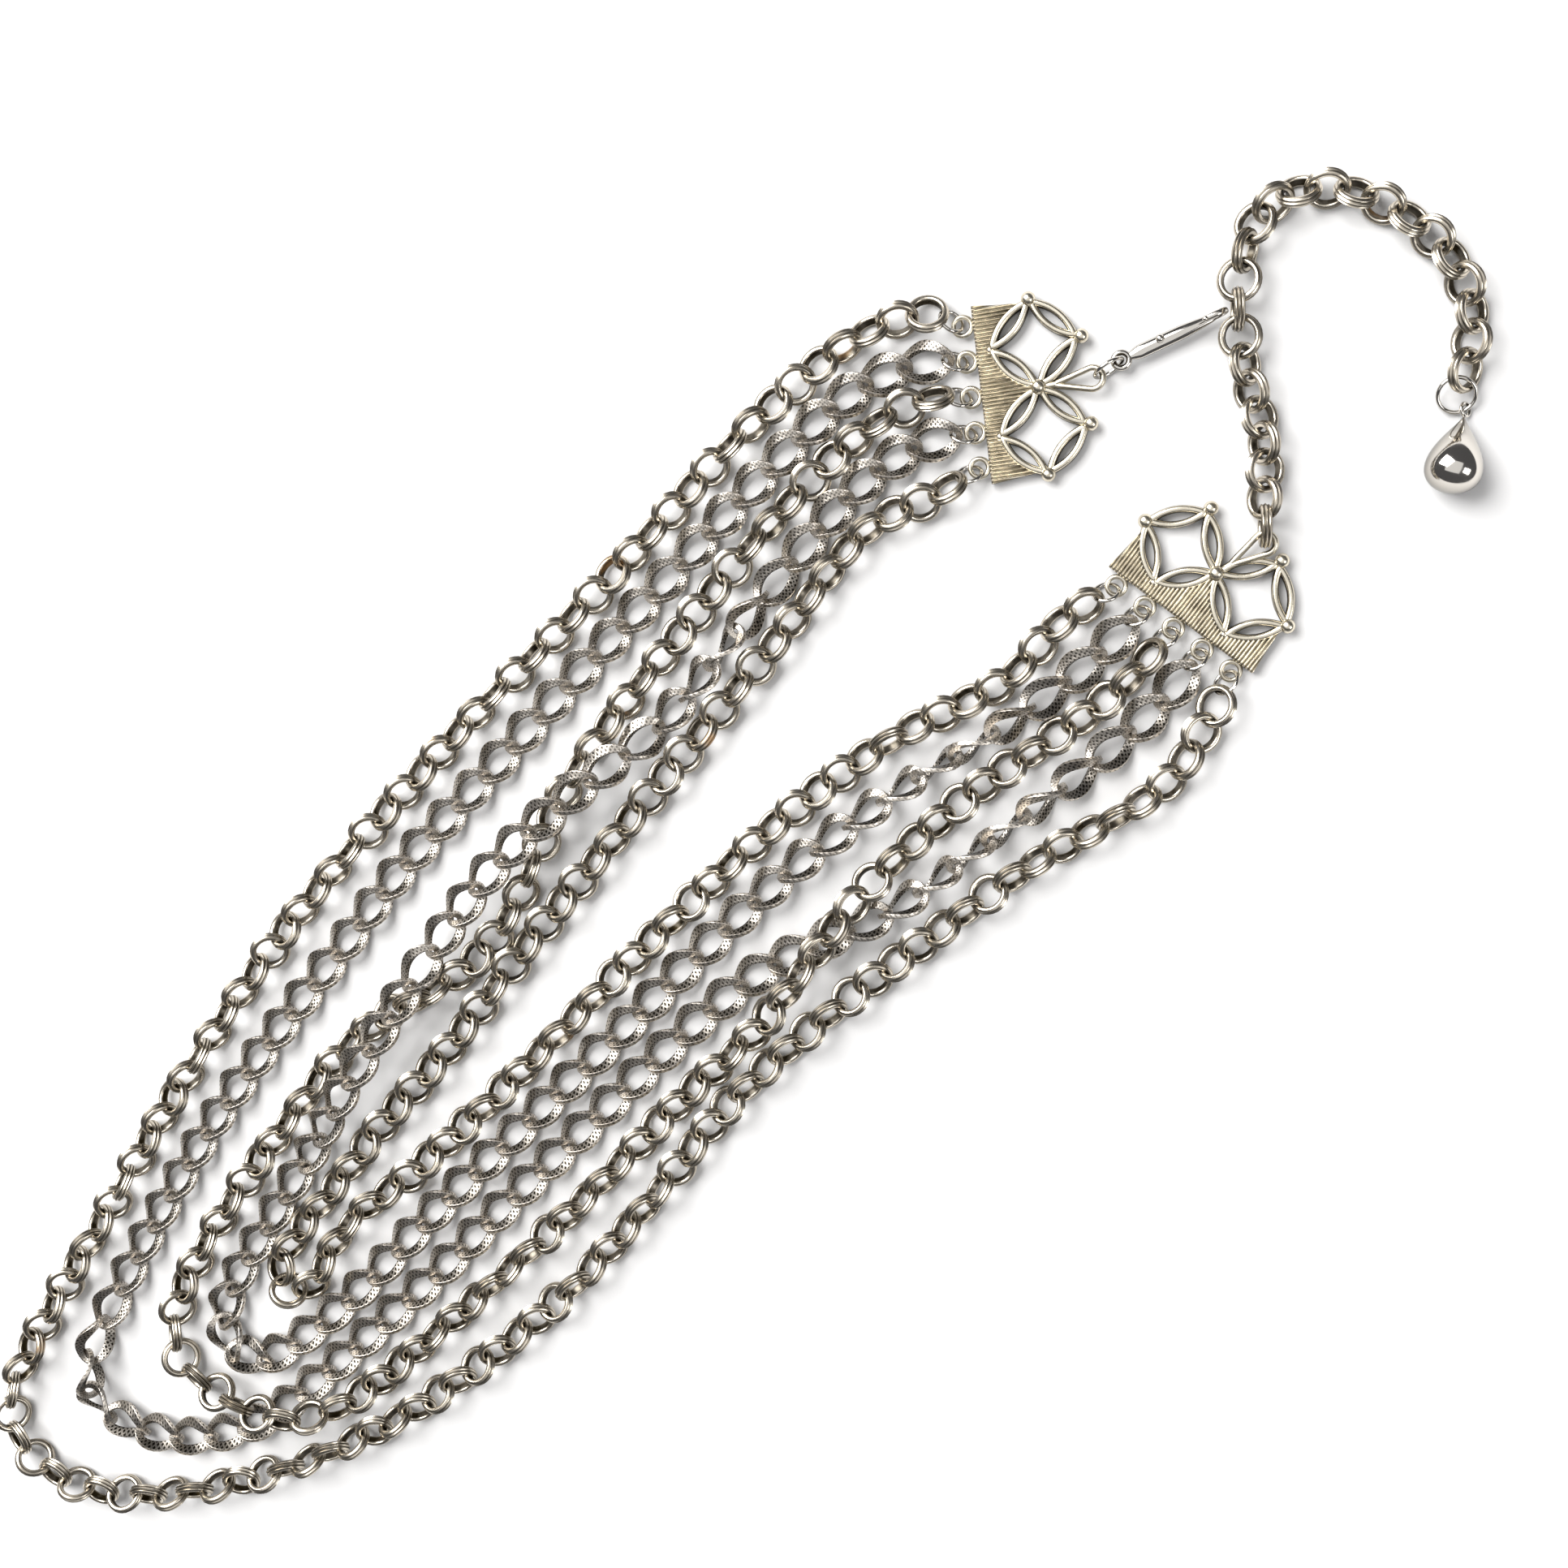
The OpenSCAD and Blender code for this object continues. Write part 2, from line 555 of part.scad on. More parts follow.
// The hook hangs on a ring in the left plate's loop and catches a link of the extender
hook_angle = 72;
hook_z = 1.7;
eye_r = (eye_d - hook_wire) / 2;
hook_ring_way = toward(80);
loop_to_ring = loop_bow + hook_ring_r / 2;
ring_to_eye = 0.95;
hook_ring_place = loop_spot(left_place, left_angle, 0) + loop_to_ring * hook_ring_way;
eye_place = hook_ring_place + (ring_to_eye + eye_r) * hook_ring_way;
hook_ring_z = hook_ring_r + joiner_wire / 2 + 0.02;
hook_ring_turn = 78;
// Radius of the hook's bend
bend_r = 1.5;

module hook_ring() {
    color("silver")
    laid()
    wire_ring([hook_ring_place[0], hook_ring_place[1], hook_ring_z],
              [hook_ring_way[0], hook_ring_way[1], 0], hook_ring_turn, hook_ring_r, joiner_wire);
}

module hook() {
    color("silver")
    laid()
    translate([eye_place[0], eye_place[1], hook_z])
    rotate([0, 0, hook_angle])
    union() {
        rotate_extrude($fn = 48) translate([eye_r, 0]) circle(d = hook_wire, $fn = 24);
        translate([eye_r, 0, 0])
        rotate([0, 90, 0])
        cylinder(d1 = hook_wire, d2 = hook_bar, h = hook_length / 2 - eye_r, $fn = 32);
        translate([hook_length / 2, 0, 0])
        rotate([0, 90, 0])
        cylinder(d1 = hook_bar, d2 = hook_wire, h = hook_length / 2, $fn = 32);
        translate([hook_length / 2 - 1, 0.3, 0.5]) sphere(d = hook_bar, $fn = 32);
        translate([hook_length, 0, bend_r])
        rotate([90, 0, 0])
        rotate_extrude(angle = 180, start = -90, $fn = 48)
        translate([bend_r, 0])
        circle(d = hook_wire, $fn = 24);
        translate([hook_length, 0, 2 * bend_r])
        rotate([0, -90, 0])
        cylinder(d1 = hook_wire, d2 = 0.7 * hook_wire, h = 1.6, $fn = 32);
        translate([hook_length - 1.6, 0, 2 * bend_r]) sphere(d = 0.7 * hook_wire, $fn = 24);
    }
}

module extender_chain() {
    color("silver")
    laid()
    chain(extender_track, extender_stations, rolo_half, rolo_section, 90, rolo_lean, 0, 0);
}

// The drop ring slopes down from the extender to the drop
drop_ring_z = 1.68;
drop_ring_slope = -24;

module drop_ring() {
    w = toward(drop_ring_angle);
    color("silver")
    laid()
    wire_ring([drop_ring_place[0], drop_ring_place[1], drop_ring_z],
              [w[0] * cos(drop_ring_slope), w[1] * cos(drop_ring_slope), sin(drop_ring_slope)],
              0, drop_ring_r, drop_ring_wire);
}

// Pear drop lying on its side, with the small loop by which it hangs on the drop ring, this
// far round from the ring's lowest point
drop_hang = 35;
bail_wire = 0.5;
bail_r = 0.85;
bail_turn = 50;
drop_lift = 22.3;
hang_out = drop_ring_r * cos(drop_hang);
hang_side = drop_ring_r * sin(drop_hang);
hang_place = drop_ring_place + hang_out * cos(drop_ring_slope) * toward(drop_ring_angle)
    + hang_side * toward(drop_ring_angle + 90);
hang_z = drop_ring_z + hang_out * sin(drop_ring_slope);

module drop() {
    steps = 12;
    profile = [for (k = [0 : steps])
        let (a = 180 * k / steps)
        [sin(a) * pow(sin(a / 2), 1.5), drop_length / 2 * (1 - cos(a))]];
    widest = max([for (p = profile) p[0]]);
    shape = [for (p = profile) [p[0] * drop_d / 2 / widest, p[1]]];
    color("gainsboro")
    laid()
    translate([hang_place[0], hang_place[1], hang_z])
    rotate([0, -drop_lift, drop_angle])
    union() {
        rotate([90 + bail_turn, 0, 0])
        rotate_extrude($fn = 32)
        translate([bail_r, 0])
        circle(d = bail_wire, $fn = 16);
        translate([bail_r, 0, 0])
        rotate([0, 90, 0])
        rotate_extrude($fn = 48)
        polygon(concat([[0, 0]], [for (k = [1 : steps - 1]) shape[k]], [[0, drop_length]]));
    }
}

plate_left();
plate_right();
strand_1();
strand_2();
strand_3();
strand_4();
strand_5();
joiners_left();
joiners_right();
hook_ring();
hook();
extender_chain();
drop_ring();
drop();
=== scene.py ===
# %% [markdown]
# # A festoon necklace on a pale table
#
# Five graduated chains hang between two openwork end plates, and a hook on an extender chain
# closes them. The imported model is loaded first, as a frame: it says where each piece lies and how
# large it is. It holds three of the chains as plain bodies, and its ribs are coarser than the
# real ones. So the chains, plates, hook and drop are made here with their fine shapes, each in
# place of its solid. The small loose rings are right as they are and only get a finish.

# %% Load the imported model
import math

import bpy
import numpy as np
from mathutils import Matrix, Vector


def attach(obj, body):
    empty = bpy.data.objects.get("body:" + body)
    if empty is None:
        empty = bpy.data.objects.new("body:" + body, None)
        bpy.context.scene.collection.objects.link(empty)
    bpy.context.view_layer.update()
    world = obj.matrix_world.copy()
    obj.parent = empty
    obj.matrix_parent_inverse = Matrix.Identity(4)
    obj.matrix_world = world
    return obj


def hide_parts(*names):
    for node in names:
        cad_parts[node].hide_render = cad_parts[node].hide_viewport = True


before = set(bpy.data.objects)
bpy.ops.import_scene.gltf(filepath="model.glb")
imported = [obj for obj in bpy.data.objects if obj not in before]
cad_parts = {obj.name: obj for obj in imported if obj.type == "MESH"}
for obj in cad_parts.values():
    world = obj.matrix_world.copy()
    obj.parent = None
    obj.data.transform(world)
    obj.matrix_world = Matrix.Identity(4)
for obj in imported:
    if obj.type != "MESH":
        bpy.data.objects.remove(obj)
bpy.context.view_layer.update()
MM = 0.001
print("nodes:", ", ".join(sorted(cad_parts)))

# %% [markdown]
# ## The camera
#
# The necklace was photographed from nearly straight above. A camera could be matched by eye in
# the viewport, but the chains tell more: their links are all alike, so where they look smaller
# they are further away, and that gives the tilt. Everything else about the view is a distance, a
# lens and the direction that is "right" in the picture, so it is written as a few numbers.

# %% Camera from the viewing angle
VIEW_TARGET = Vector((2.6, 27.6, 2.4)) * MM
VIEW_DISTANCE = 273 * MM
VIEW_TILT = math.radians(12.5)
VIEW_FROM = math.radians(78)
PICTURE_RIGHT = math.radians(48)
LENS_MM = 42.5


def camera_axes():
    """The camera's right, up and backward directions."""
    flat = Vector((math.cos(VIEW_FROM), math.sin(VIEW_FROM), 0))
    back = flat * math.sin(VIEW_TILT) + Vector((0, 0, math.cos(VIEW_TILT)))
    right = Vector((math.cos(PICTURE_RIGHT), math.sin(PICTURE_RIGHT), 0))
    right.z = -(right.x * back.x + right.y * back.y) / back.z
    right.normalize()
    return right, back.cross(right), back


right, up, back = camera_axes()
camera_data = bpy.data.cameras.new("camera")
camera_data.lens = LENS_MM
camera_data.clip_start = 0.01
camera = bpy.data.objects.new("camera", camera_data)
camera_place = Matrix.Translation(VIEW_TARGET + back * VIEW_DISTANCE)
camera.matrix_world = camera_place @ Matrix((right, up, back)).transposed().to_4x4()
bpy.context.scene.collection.objects.link(camera)
bpy.context.scene.camera = camera
print("camera at", [round(c / MM, 1) for c in camera.location], "mm")

# %% [markdown]
# ## Small tools for materials
#
# Colours are picked as sRGB hex values, and Blender mixes in linear light, so one function
# turns one into the other. A second adds a shader node and fills or links its inputs. Nodes could
# be placed by hand in the shader editor, but a list of calls can be read and changed more easily.


# %% Colour and node helpers
def linear(hex_colour):
    """An sRGB hex colour as linear red, green, blue and alpha."""
    parts = [int(hex_colour[i:i + 2], 16) / 255 for i in (1, 3, 5)]
    return [c / 12.92 if c <= 0.04045 else ((c + 0.055) / 1.055) ** 2.4 for c in parts] + [1.0]


def add_node(tree, kind, inputs=None, **settings):
    """Adds one node with its settings, and fills each input with a value or a link."""
    node = tree.nodes.new(kind)
    for name, value in settings.items():
        setattr(node, name, value)
    for name, value in (inputs or {}).items():
        if isinstance(value, bpy.types.NodeSocket):
            tree.links.new(value, node.inputs[name])
        else:
            node.inputs[name].default_value = value
    return node


print("the sRGB grey #808080 is %.3f in linear light" % linear("#808080")[0])

# %% [markdown]
# ## What all the metals share
#
# Every finish here is a thin plate of metal over brass. Each one paints shade on faces that turn
# away from up, so their sides come out darker. The lie of each face could be baked into a picture,
# but the piece's own normal already holds it, so each metal starts with that value.

# %% A bare metal
SIDE_STARTS = 0.72


def start_metal(name):
    """A bare metal: material, tree, shader, place in millimetres, and how far it faces aside, for
    painted side shade.
    """
    material = bpy.data.materials.new(name)
    material.use_nodes = True
    tree = material.node_tree
    shader = tree.nodes["Principled BSDF"]
    shader.inputs["Metallic"].default_value = 1.0
    piece = add_node(tree, "ShaderNodeTexCoord").outputs
    in_mm = add_node(tree, "ShaderNodeVectorMath", {
        0: piece["Object"], 1: (1 / MM,) * 3}, operation="MULTIPLY")
    # Painted shade: the colour darkens on faces that turn away from up, starting at SIDE_STARTS.
    upward = add_node(tree, "ShaderNodeSeparateXYZ", {"Vector": piece["Normal"]}).outputs["Z"]
    side = add_node(tree, "ShaderNodeMapRange", {
        "Value": upward, "From Min": SIDE_STARTS, "From Max": 0.0})
    return material, tree, shader, in_mm.outputs["Vector"], side.outputs["Result"]


# The painted side shade starts this far from level.
print("tarnish starts %.0f degrees from level" % math.degrees(math.acos(SIDE_STARTS)))

# %% [markdown]
# ## Antiqued silver plate on the rolo links and the end plates
#
# The rolo links are bent from ribbed wire, silver plated over brass, darkened, and then
# polished, and the cast plates are finished alike. Polishing reaches the crests and leaves the
# dark in the grooves and inside the links. The dark could be painted on by hand, link by link.
# The formulas that make the shapes already know where the grooves are, so they write a value
# for each point, 0 on a crest and 1 in a groove, which mixes bright and dark. On the curb links
# that value is painted shade instead. Both finishes also darken with painted shade on faces that
# turn away from up. In a few spots the plate has worn thin and the brass shows brown.

# %% Darkened and polished silver plate
# How much painted shade the sides of the antiqued silver get.
SIDE_SHADE = 0.45
WORN_SPOT_MM = 9.0


def antiqued_silver(name, crest, groove, crest_rough, groove_rough, blotch_mm):
    """Silver plate that is bright on crests and dark with patina in recesses, with painted shade on
    its sides and faint blotches.
    """
    material, tree, shader, place, side = start_metal(name)
    patina_and_shade = add_node(tree, "ShaderNodeAttribute", attribute_name="patina_and_shade").outputs["Fac"]
    blotch = add_node(tree, "ShaderNodeTexNoise", {
        "Vector": place, "Scale": 1 / blotch_mm, "Detail": 4.0})
    uneven = add_node(tree, "ShaderNodeMapRange", {
        "Value": blotch.outputs["Fac"], "From Min": 0.35, "From Max": 0.7,
        "To Min": -0.12, "To Max": 0.22})
    # Painted shade on the sides, made uneven by random blotches.
    sided = add_node(tree, "ShaderNodeMath", {
        0: side, 1: SIDE_SHADE, 2: uneven.outputs["Result"]}, operation="MULTIPLY_ADD")
    # The patina and shade from the shape and the painted side shade add up to how dark each point
    # is.
    dark = add_node(tree, "ShaderNodeMath", {
        0: patina_and_shade, 1: sided.outputs[0]}, operation="ADD", use_clamp=True)
    colour = add_node(tree, "ShaderNodeMix", {
        "Factor": dark.outputs[0], 6: linear(crest), 7: linear(groove)}, data_type="RGBA")
    rough = add_node(tree, "ShaderNodeMapRange", {
        "Value": dark.outputs[0], "To Min": crest_rough, "To Max": groove_rough})
    spot = add_node(tree, "ShaderNodeTexNoise", {
        "Vector": place, "Scale": 1 / WORN_SPOT_MM, "Detail": 2.0})
    worn = add_node(tree, "ShaderNodeMapRange", {
        "Value": spot.outputs["Fac"], "From Min": 0.7, "From Max": 0.76, "To Max": 0.7})
    brass = add_node(tree, "ShaderNodeMix", {
        "Factor": worn.outputs["Result"], 6: colour.outputs[2], 7: linear("#A07848")},
        data_type="RGBA")
    tree.links.new(brass.outputs[2], shader.inputs["Base Color"])
    tree.links.new(rough.outputs["Result"], shader.inputs["Roughness"])
    return material


rolo_silver = antiqued_silver(
    "antiqued_silver_plate_rolo", "#E6DCCB", "#302818", 0.24, 0.42, 2.5)
plate_silver = antiqued_silver(
    "antiqued_silver_plate_cast", "#F3EAD6", "#3A3019", 0.26, 0.40, 1.8)
print("made", rolo_silver.name, "and", plate_silver.name)

# %% [markdown]
# ## Cross-hatched pewter finish on the curb links
#
# The curb links are flat wire with a fine hatch rolled into it, so they look satin and darker.
# The hatch is about 0.15 mm on the real links, too fine to show here, so it is drawn at 0.45 mm.
# Two sets of lines cross at a slant. They could be cut as real grooves, but that would take
# millions of faces for a depth that nobody sees, so they are a colour and a bump. The lines
# follow the wire, because each link says where its points lie along and across it.

# %% Hatched satin plate
HATCH_MM = 0.45
HATCH_DEGREES = 38
HATCH_DEPTH_MM = 0.04
# A wave texture of scale 1 repeats after 2 pi / 20 units.
HATCH_SCALE = 2 * math.pi / (20 * HATCH_MM)


def hatched_pewter():
    """Satin pewter-grey plate with crossing rolled lines, read along and across the wire, and
    painted shade on its sides and along each link.
    """
    material, tree, shader, place, side = start_metal("hatched_pewter_plate")
    wire = add_node(tree, "ShaderNodeUVMap", uv_map="wire_mm").outputs["UV"]
    heights = []
    for angle in (HATCH_DEGREES, -HATCH_DEGREES):
        turned = add_node(tree, "ShaderNodeVectorRotate", {
            "Vector": wire, "Angle": math.radians(angle)}, rotation_type="Z_AXIS")
        lines = add_node(tree, "ShaderNodeTexWave", {
            "Vector": turned.outputs["Vector"], "Scale": HATCH_SCALE, "Distortion": 0.4},
            wave_type="BANDS", bands_direction="X")
        heights.append(lines.outputs["Fac"])
    hatch = add_node(tree, "ShaderNodeMath", {0: heights[0], 1: heights[1]}, operation="MAXIMUM")
    patina_and_shade = add_node(tree, "ShaderNodeAttribute", attribute_name="patina_and_shade").outputs["Fac"]
    blotch = add_node(tree, "ShaderNodeTexNoise", {
        "Vector": place, "Scale": 1 / 3.0, "Detail": 3.0})
    grooved = add_node(tree, "ShaderNodeMath", {
        0: hatch.outputs[0], 1: 0.85}, operation="MULTIPLY")
    worn = add_node(tree, "ShaderNodeMath", {0: 0.75, 1: grooved.outputs[0]}, operation="SUBTRACT")
    # Painted shade: the sides darken with the normal, and the shade painted along each curb link is
    # added below.
    sided = add_node(tree, "ShaderNodeMath", {
        0: side, 1: 0.4, 2: worn.outputs[0]}, operation="MULTIPLY_ADD")
    dark = add_node(tree, "ShaderNodeMath", {
        0: sided.outputs[0], 1: patina_and_shade}, operation="ADD", use_clamp=True)
    colour = add_node(tree, "ShaderNodeMix", {
        "Factor": dark.outputs[0], 6: linear("#E6E0D8"), 7: linear("#221F19")}, data_type="RGBA")
    tint = add_node(tree, "ShaderNodeMix", {
        "Factor": blotch.outputs["Fac"], 6: colour.outputs[2], 7: linear("#F2ECE3")},
        data_type="RGBA", blend_type="MULTIPLY")
    bump = add_node(tree, "ShaderNodeBump", {
        "Height": hatch.outputs[0], "Strength": 0.5, "Distance": HATCH_DEPTH_MM * MM})
    tree.links.new(tint.outputs[2], shader.inputs["Base Color"])
    tree.links.new(bump.outputs["Normal"], shader.inputs["Normal"])
    shader.inputs["Roughness"].default_value = 0.34
    return material


pewter = hatched_pewter()
print("made", pewter.name, "with lines", HATCH_MM, "mm apart")

# %% [markdown]
# ## Polished plate on the rings, hook and drop
#
# These are plain wire and a smooth casting, buffed bright, and their sides are painted dark brown
# as shade. Handling leaves faint smears. A picture of fingerprints could be laid on them, but at
# this size the eye only sees that the reflections are not equally sharp, so a soft noise changes
# the roughness a little.


# %% Buffed bright plate
def polished_silver():
    """Bright buffed plate with faint handling smears, and painted shade on its sides."""
    material, tree, shader, place, side = start_metal("polished_silver_plate")
    smear = add_node(tree, "ShaderNodeTexNoise", {
        "Vector": place, "Scale": 1 / 4.0, "Detail": 5.0})
    rough = add_node(tree, "ShaderNodeMapRange", {
        "Value": smear.outputs["Fac"], "From Min": 0.3, "From Max": 0.7,
        "To Min": 0.05, "To Max": 0.16})
    # Painted shade: the colour turns dark brown on faces that turn away from up.
    colour = add_node(tree, "ShaderNodeMix", {
        "Factor": side, 6: linear("#E8E3DB"), 7: linear("#3F3A2F")}, data_type="RGBA")
    tree.links.new(colour.outputs[2], shader.inputs["Base Color"])
    tree.links.new(rough.outputs["Result"], shader.inputs["Roughness"])
    return material


bright_silver = polished_silver()
print("made", bright_silver.name)

# %% [markdown]
# ## Pieces from grids of points
#
# A link, a ring, a ball and a pear are all a sheet of points that closes on itself. They could be
# curves with a bevel, or primitives shaped by hand. Worked out as grids they are quick to make by
# the hundred, and the same formula also says how much patina and painted shade each point gets
# and where it lies along and across the wire, in millimetres. One such grid is called a shell.

# %% A shell from a grid
# Where the point that all routes are measured from lies in the frame, in millimetres
HOME = np.array([2.61, 27.52, 0.0])


def grid_shell(points, patina_and_shade, closed=True, size_mm=(1.0, 1.0)):
    """A shell from rows of points. Columns always close; rows close, or else end in flat caps."""
    rows, cols = points.shape[:2]
    i, j = np.meshgrid(np.arange(rows if closed else rows - 1), np.arange(cols), indexing="ij")
    i, j = i.ravel(), j.ravel()
    after_i, after_j = (i + 1) % rows, (j + 1) % cols
    quads = np.stack([i * cols + j, i * cols + after_j,
                      after_i * cols + after_j, after_i * cols + j], 1)
    u = np.stack([i, i, i + 1, i + 1], 1) * size_mm[0] / rows
    v = np.stack([j, j + 1, j + 1, j], 1) * size_mm[1] / cols
    flat = points.reshape(-1, 3)
    # A shell with a negative volume is inside out, and its faces are then listed backwards.
    a, b, c, d = ((flat - flat.mean(axis=0))[quads[:, k]] for k in range(4))
    volume = (np.cross(b - a, c - a) * a).sum() + (np.cross(c - a, d - a) * a).sum()
    step = 1 if volume > 0 else -1
    faces = [tuple(q[::step]) for q in quads.tolist()]
    uvs = np.stack([u, v], 2)[:, ::step].reshape(-1, 2)
    if not closed:
        ends = [list(range(cols))[::-step], [(rows - 1) * cols + k for k in range(cols)][::step]]
        faces += [tuple(e) for e in ends]
        uvs = np.concatenate([uvs, np.zeros((2 * cols, 2))])
    return flat, faces, np.broadcast_to(patina_and_shade, (rows, cols)).ravel(), uvs


print("shells are moved by", HOME, "mm into the frame")

# %% [markdown]
# ## One object from many shells
#
# A chain could be a hundred objects, one for each link, but it is one piece to whoever picks it
# up. So its shells become one mesh, which takes the place of the chain's solid, carries the slot
# of its metal, and stays with the body that the solid belongs to.

# %% An object that stands for a node
SHARP_DEGREES = 48


def make_piece(name, shells, material, node):
    """One object from many shells, which stands for a node of the frame."""
    points, faces, patina_and_shade, uvs, base = [], [], [], [], 0
    for shell_points, shell_faces, shell_recess, shell_uvs in shells:
        points.append(shell_points)
        faces += [tuple(k + base for k in f) for f in shell_faces]
        patina_and_shade.append(shell_recess)
        uvs.append(shell_uvs)
        base += len(shell_points)
    mesh = bpy.data.meshes.new(name)
    mesh.from_pydata(((np.concatenate(points) + HOME) * MM).tolist(), [], faces)
    mesh.uv_layers.new(name="wire_mm").data.foreach_set("uv", np.concatenate(uvs).ravel())
    depth = mesh.attributes.new("patina_and_shade", "FLOAT", "POINT")
    depth.data.foreach_set("value", np.concatenate(patina_and_shade))
    mesh.shade_smooth()
    mesh.set_sharp_from_angle(angle=math.radians(SHARP_DEGREES))
    mesh.materials.append(material)
    piece = bpy.data.objects.new(name, mesh)
    bpy.context.scene.collection.objects.link(piece)
    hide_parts(node)
    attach(piece, "root")
    print(name, len(shells), "shells,", sum(len(f) - 2 for f in faces), "triangles")


print("edges over", SHARP_DEGREES, "degrees stay sharp")

# %% [markdown]
# ## Routes of the chains
#
# A laid-out chain is a smooth curve through a few chosen points. It could be drawn as a curve
# object, but a table can be checked against a ruler. Each point gives x and y in millimetres, how
# far the chain is raised over another one, and its turn in degrees. The curb chains turn over
# slowly in places, as the real ones do where they lie twisted.

# %% Routes, outer to inner
ROUTE_1 = [
    (-37, 59.5, 0, 0), (-41, 49, 0, 0), (-42, 30, 0, 0), (-40.5, 8, 0, 0), (-39.5, -11, 0, 0),
    (-39, -30, 0, 0), (-37.5, -52, 0, 0), (-35.5, -72, 0, 0), (-32, -91, 0, 0),
    (-27, -112, 0, 0), (-21.5, -131, 0, 0), (-16.5, -149, 0, 0), (-13, -160, 0, 0),
    (-9.5, -167.5, 0, 0), (-3.5, -172, 0, 0), (6, -170.5, 0, 0), (14.5, -164, 0, 0),
    (22, -153, 0, 0), (29.5, -136, 0, 0), (34.5, -117, 0, 0), (36.5, -98, 0, 0),
    (36.5, -78, 0, 0), (34, -58, 0, 0), (30.5, -38, 0, 0), (30, -18, 0, 0), (31, 1, 0, 0),
    (32.5, 20, 0, 0), (36, 40, 0, 0), (33.5, 51, 0, 0)]
ROUTE_2 = [
    (-32.5, 54, 0, 0), (-35.8, 43, 0, 0), (-35.5, 24, 0, 0), (-34.2, 5, 0, 0), (-33, -14, 0, 0),
    (-31.5, -34, 0, 0), (-30, -53, 0, 0), (-27, -72, 0, 0), (-24, -91, 0, 0), (-20, -110, 0, 0),
    (-14.5, -129, 0, 0), (-9.5, -143, 0, -15), (-5, -151.5, 0, -80), (1, -155.8, 0, -150),
    (9, -153.3, 0, -175), (16, -146, 0, -180), (20.5, -136, 0, -180), (21.5, -125, 0, -180),
    (21.5, -110, 0, -180), (21, -92, 0, -180), (20, -78, 0, -180), (19, -58, 0, -180),
    (18, -38, 0, -180), (18.5, -23, 0, -180), (21, -12, 0, -180), (24.5, 1, 0, -225),
    (25.7, 16, 0, -270), (26.9, 30, 0, -310), (27.2, 40, 0, -340), (26.8, 49, 0, -360)]
ROUTE_3 = [
    (-28, 51, 0, 0), (-30.3, 39, 0, 0), (-29.2, 20, 0, 0), (-26.6, 2, 0, 0), (-24, -15, 0, 0),
    (-21, -27, 0, 0), (-17.5, -35, 0, 0), (-13.5, -44, 0, 0), (-11.5, -53, 0, 0),
    (-12, -62, 0, 0), (-14.5, -73, 0, 0), (-14.5, -84, 0, 0), (-12.5, -96, 0, 0),
    (-9.5, -111, 0, 0), (-6, -124, 0, 0), (-1.5, -134, 0, 0), (5.5, -139, 0, 0),
    (13.5, -136.5, 0.4, 0), (19.5, -132, 1.1, 0), (24.5, -127, 1, 0), (27.8, -119, 0, 0),
    (28.3, -102, 0, 0), (28, -82, 0, 0), (27, -62, 0, 0), (25.5, -44, 0, 0),
    (24.8, -28, 0.5, 0), (22.8, -17, 1.1, 0), (20.2, -5, 1.1, 0), (19.1, 4, 0.3, 0),
    (19.1, 20, 0, 0), (20.9, 36, 0, 0), (21.5, 46, 0, 0)]
ROUTE_4 = [
    (-23.5, 47, 0, 0), (-25, 36, 0, 0), (-22.8, 19, 0, -25), (-20.5, 5, 0, -120),
    (-19, -8, 0, -175), (-19.2, -17, 0.8, -180), (-19.8, -26, 1, -180), (-20, -35, 1, -180),
    (-19.3, -45, 0.9, -180), (-17.4, -55, 0.7, -180), (-15, -64, 1, -180), (-12.5, -74, 1, -180),
    (-10.2, -83, 1, -180), (-7.8, -92, 0.5, -180), (-5.8, -100, 0, -180), (-2.4, -112, 0, -180),
    (0.3, -121.5, 0, -180), (3.6, -127.8, 0, -180), (8.4, -130.6, 0, -180),
    (13.2, -127.6, 0, -180), (14.8, -119, 0, -180), (15, -106, 0, -180), (13.5, -88, 0, -180),
    (12.5, -66, 0, -180), (11.5, -45, 0, -180), (10.3, -24, 0, -180), (10.2, -5, 0, -200),
    (12, 14, 0, -245), (14.8, 30, 0, -300), (16, 45, 0, -350)]
ROUTE_5 = [
    (-16.5, 44, 0, 0), (-19.5, 33, 0, 0), (-16.5, 14, 0, 0), (-13.3, -8, 0, 0),
    (-10.5, -28, 0, 0), (-7.5, -48, 0, 0), (-4, -68, 0, 0), (-2, -85, 0, 0), (0, -96, 0, 0),
    (1.5, -106, 0, 0), (3.5, -113, 0, 0), (6.4, -116, 0, 0), (9.2, -114.5, 0, 0),
    (9.2, -110.5, 0, 0), (7, -104, 0, 0), (6, -96, 0, 0), (6.8, -88, 0, 0), (6.7, -78, 0, 0),
    (6.3, -64, 0, 0), (5, -44, 0, 0), (4, -25, 0, 0), (3.7, -4, 0, 0), (5.5, 16, 0, 0),
    (10, 34, 0, 0), (9, 45, 0, 0)]
EXTENDER_ROUTE = [
    (13.9, 78.5, 0, -8), (8, 83.3, 0, -10), (0, 87.2, 0, 5), (-7.2, 91.8, 0, 45),
    (-12.3, 97.3, 0, 20), (-14.8, 103, 0, 5), (-13.2, 108.5, 0, 0), (-8.5, 113, 0, 0),
    (-2, 115.6, 0, 0), (5, 116.6, 0, 0), (12, 115, 0, 0), (17.3, 111, 0, 0)]
print("points chosen:", [len(r) for r in (ROUTE_1, ROUTE_2, ROUTE_3, ROUTE_4, ROUTE_5)])

# %% A smooth curve through the points
ROUTE_STEPS = 8


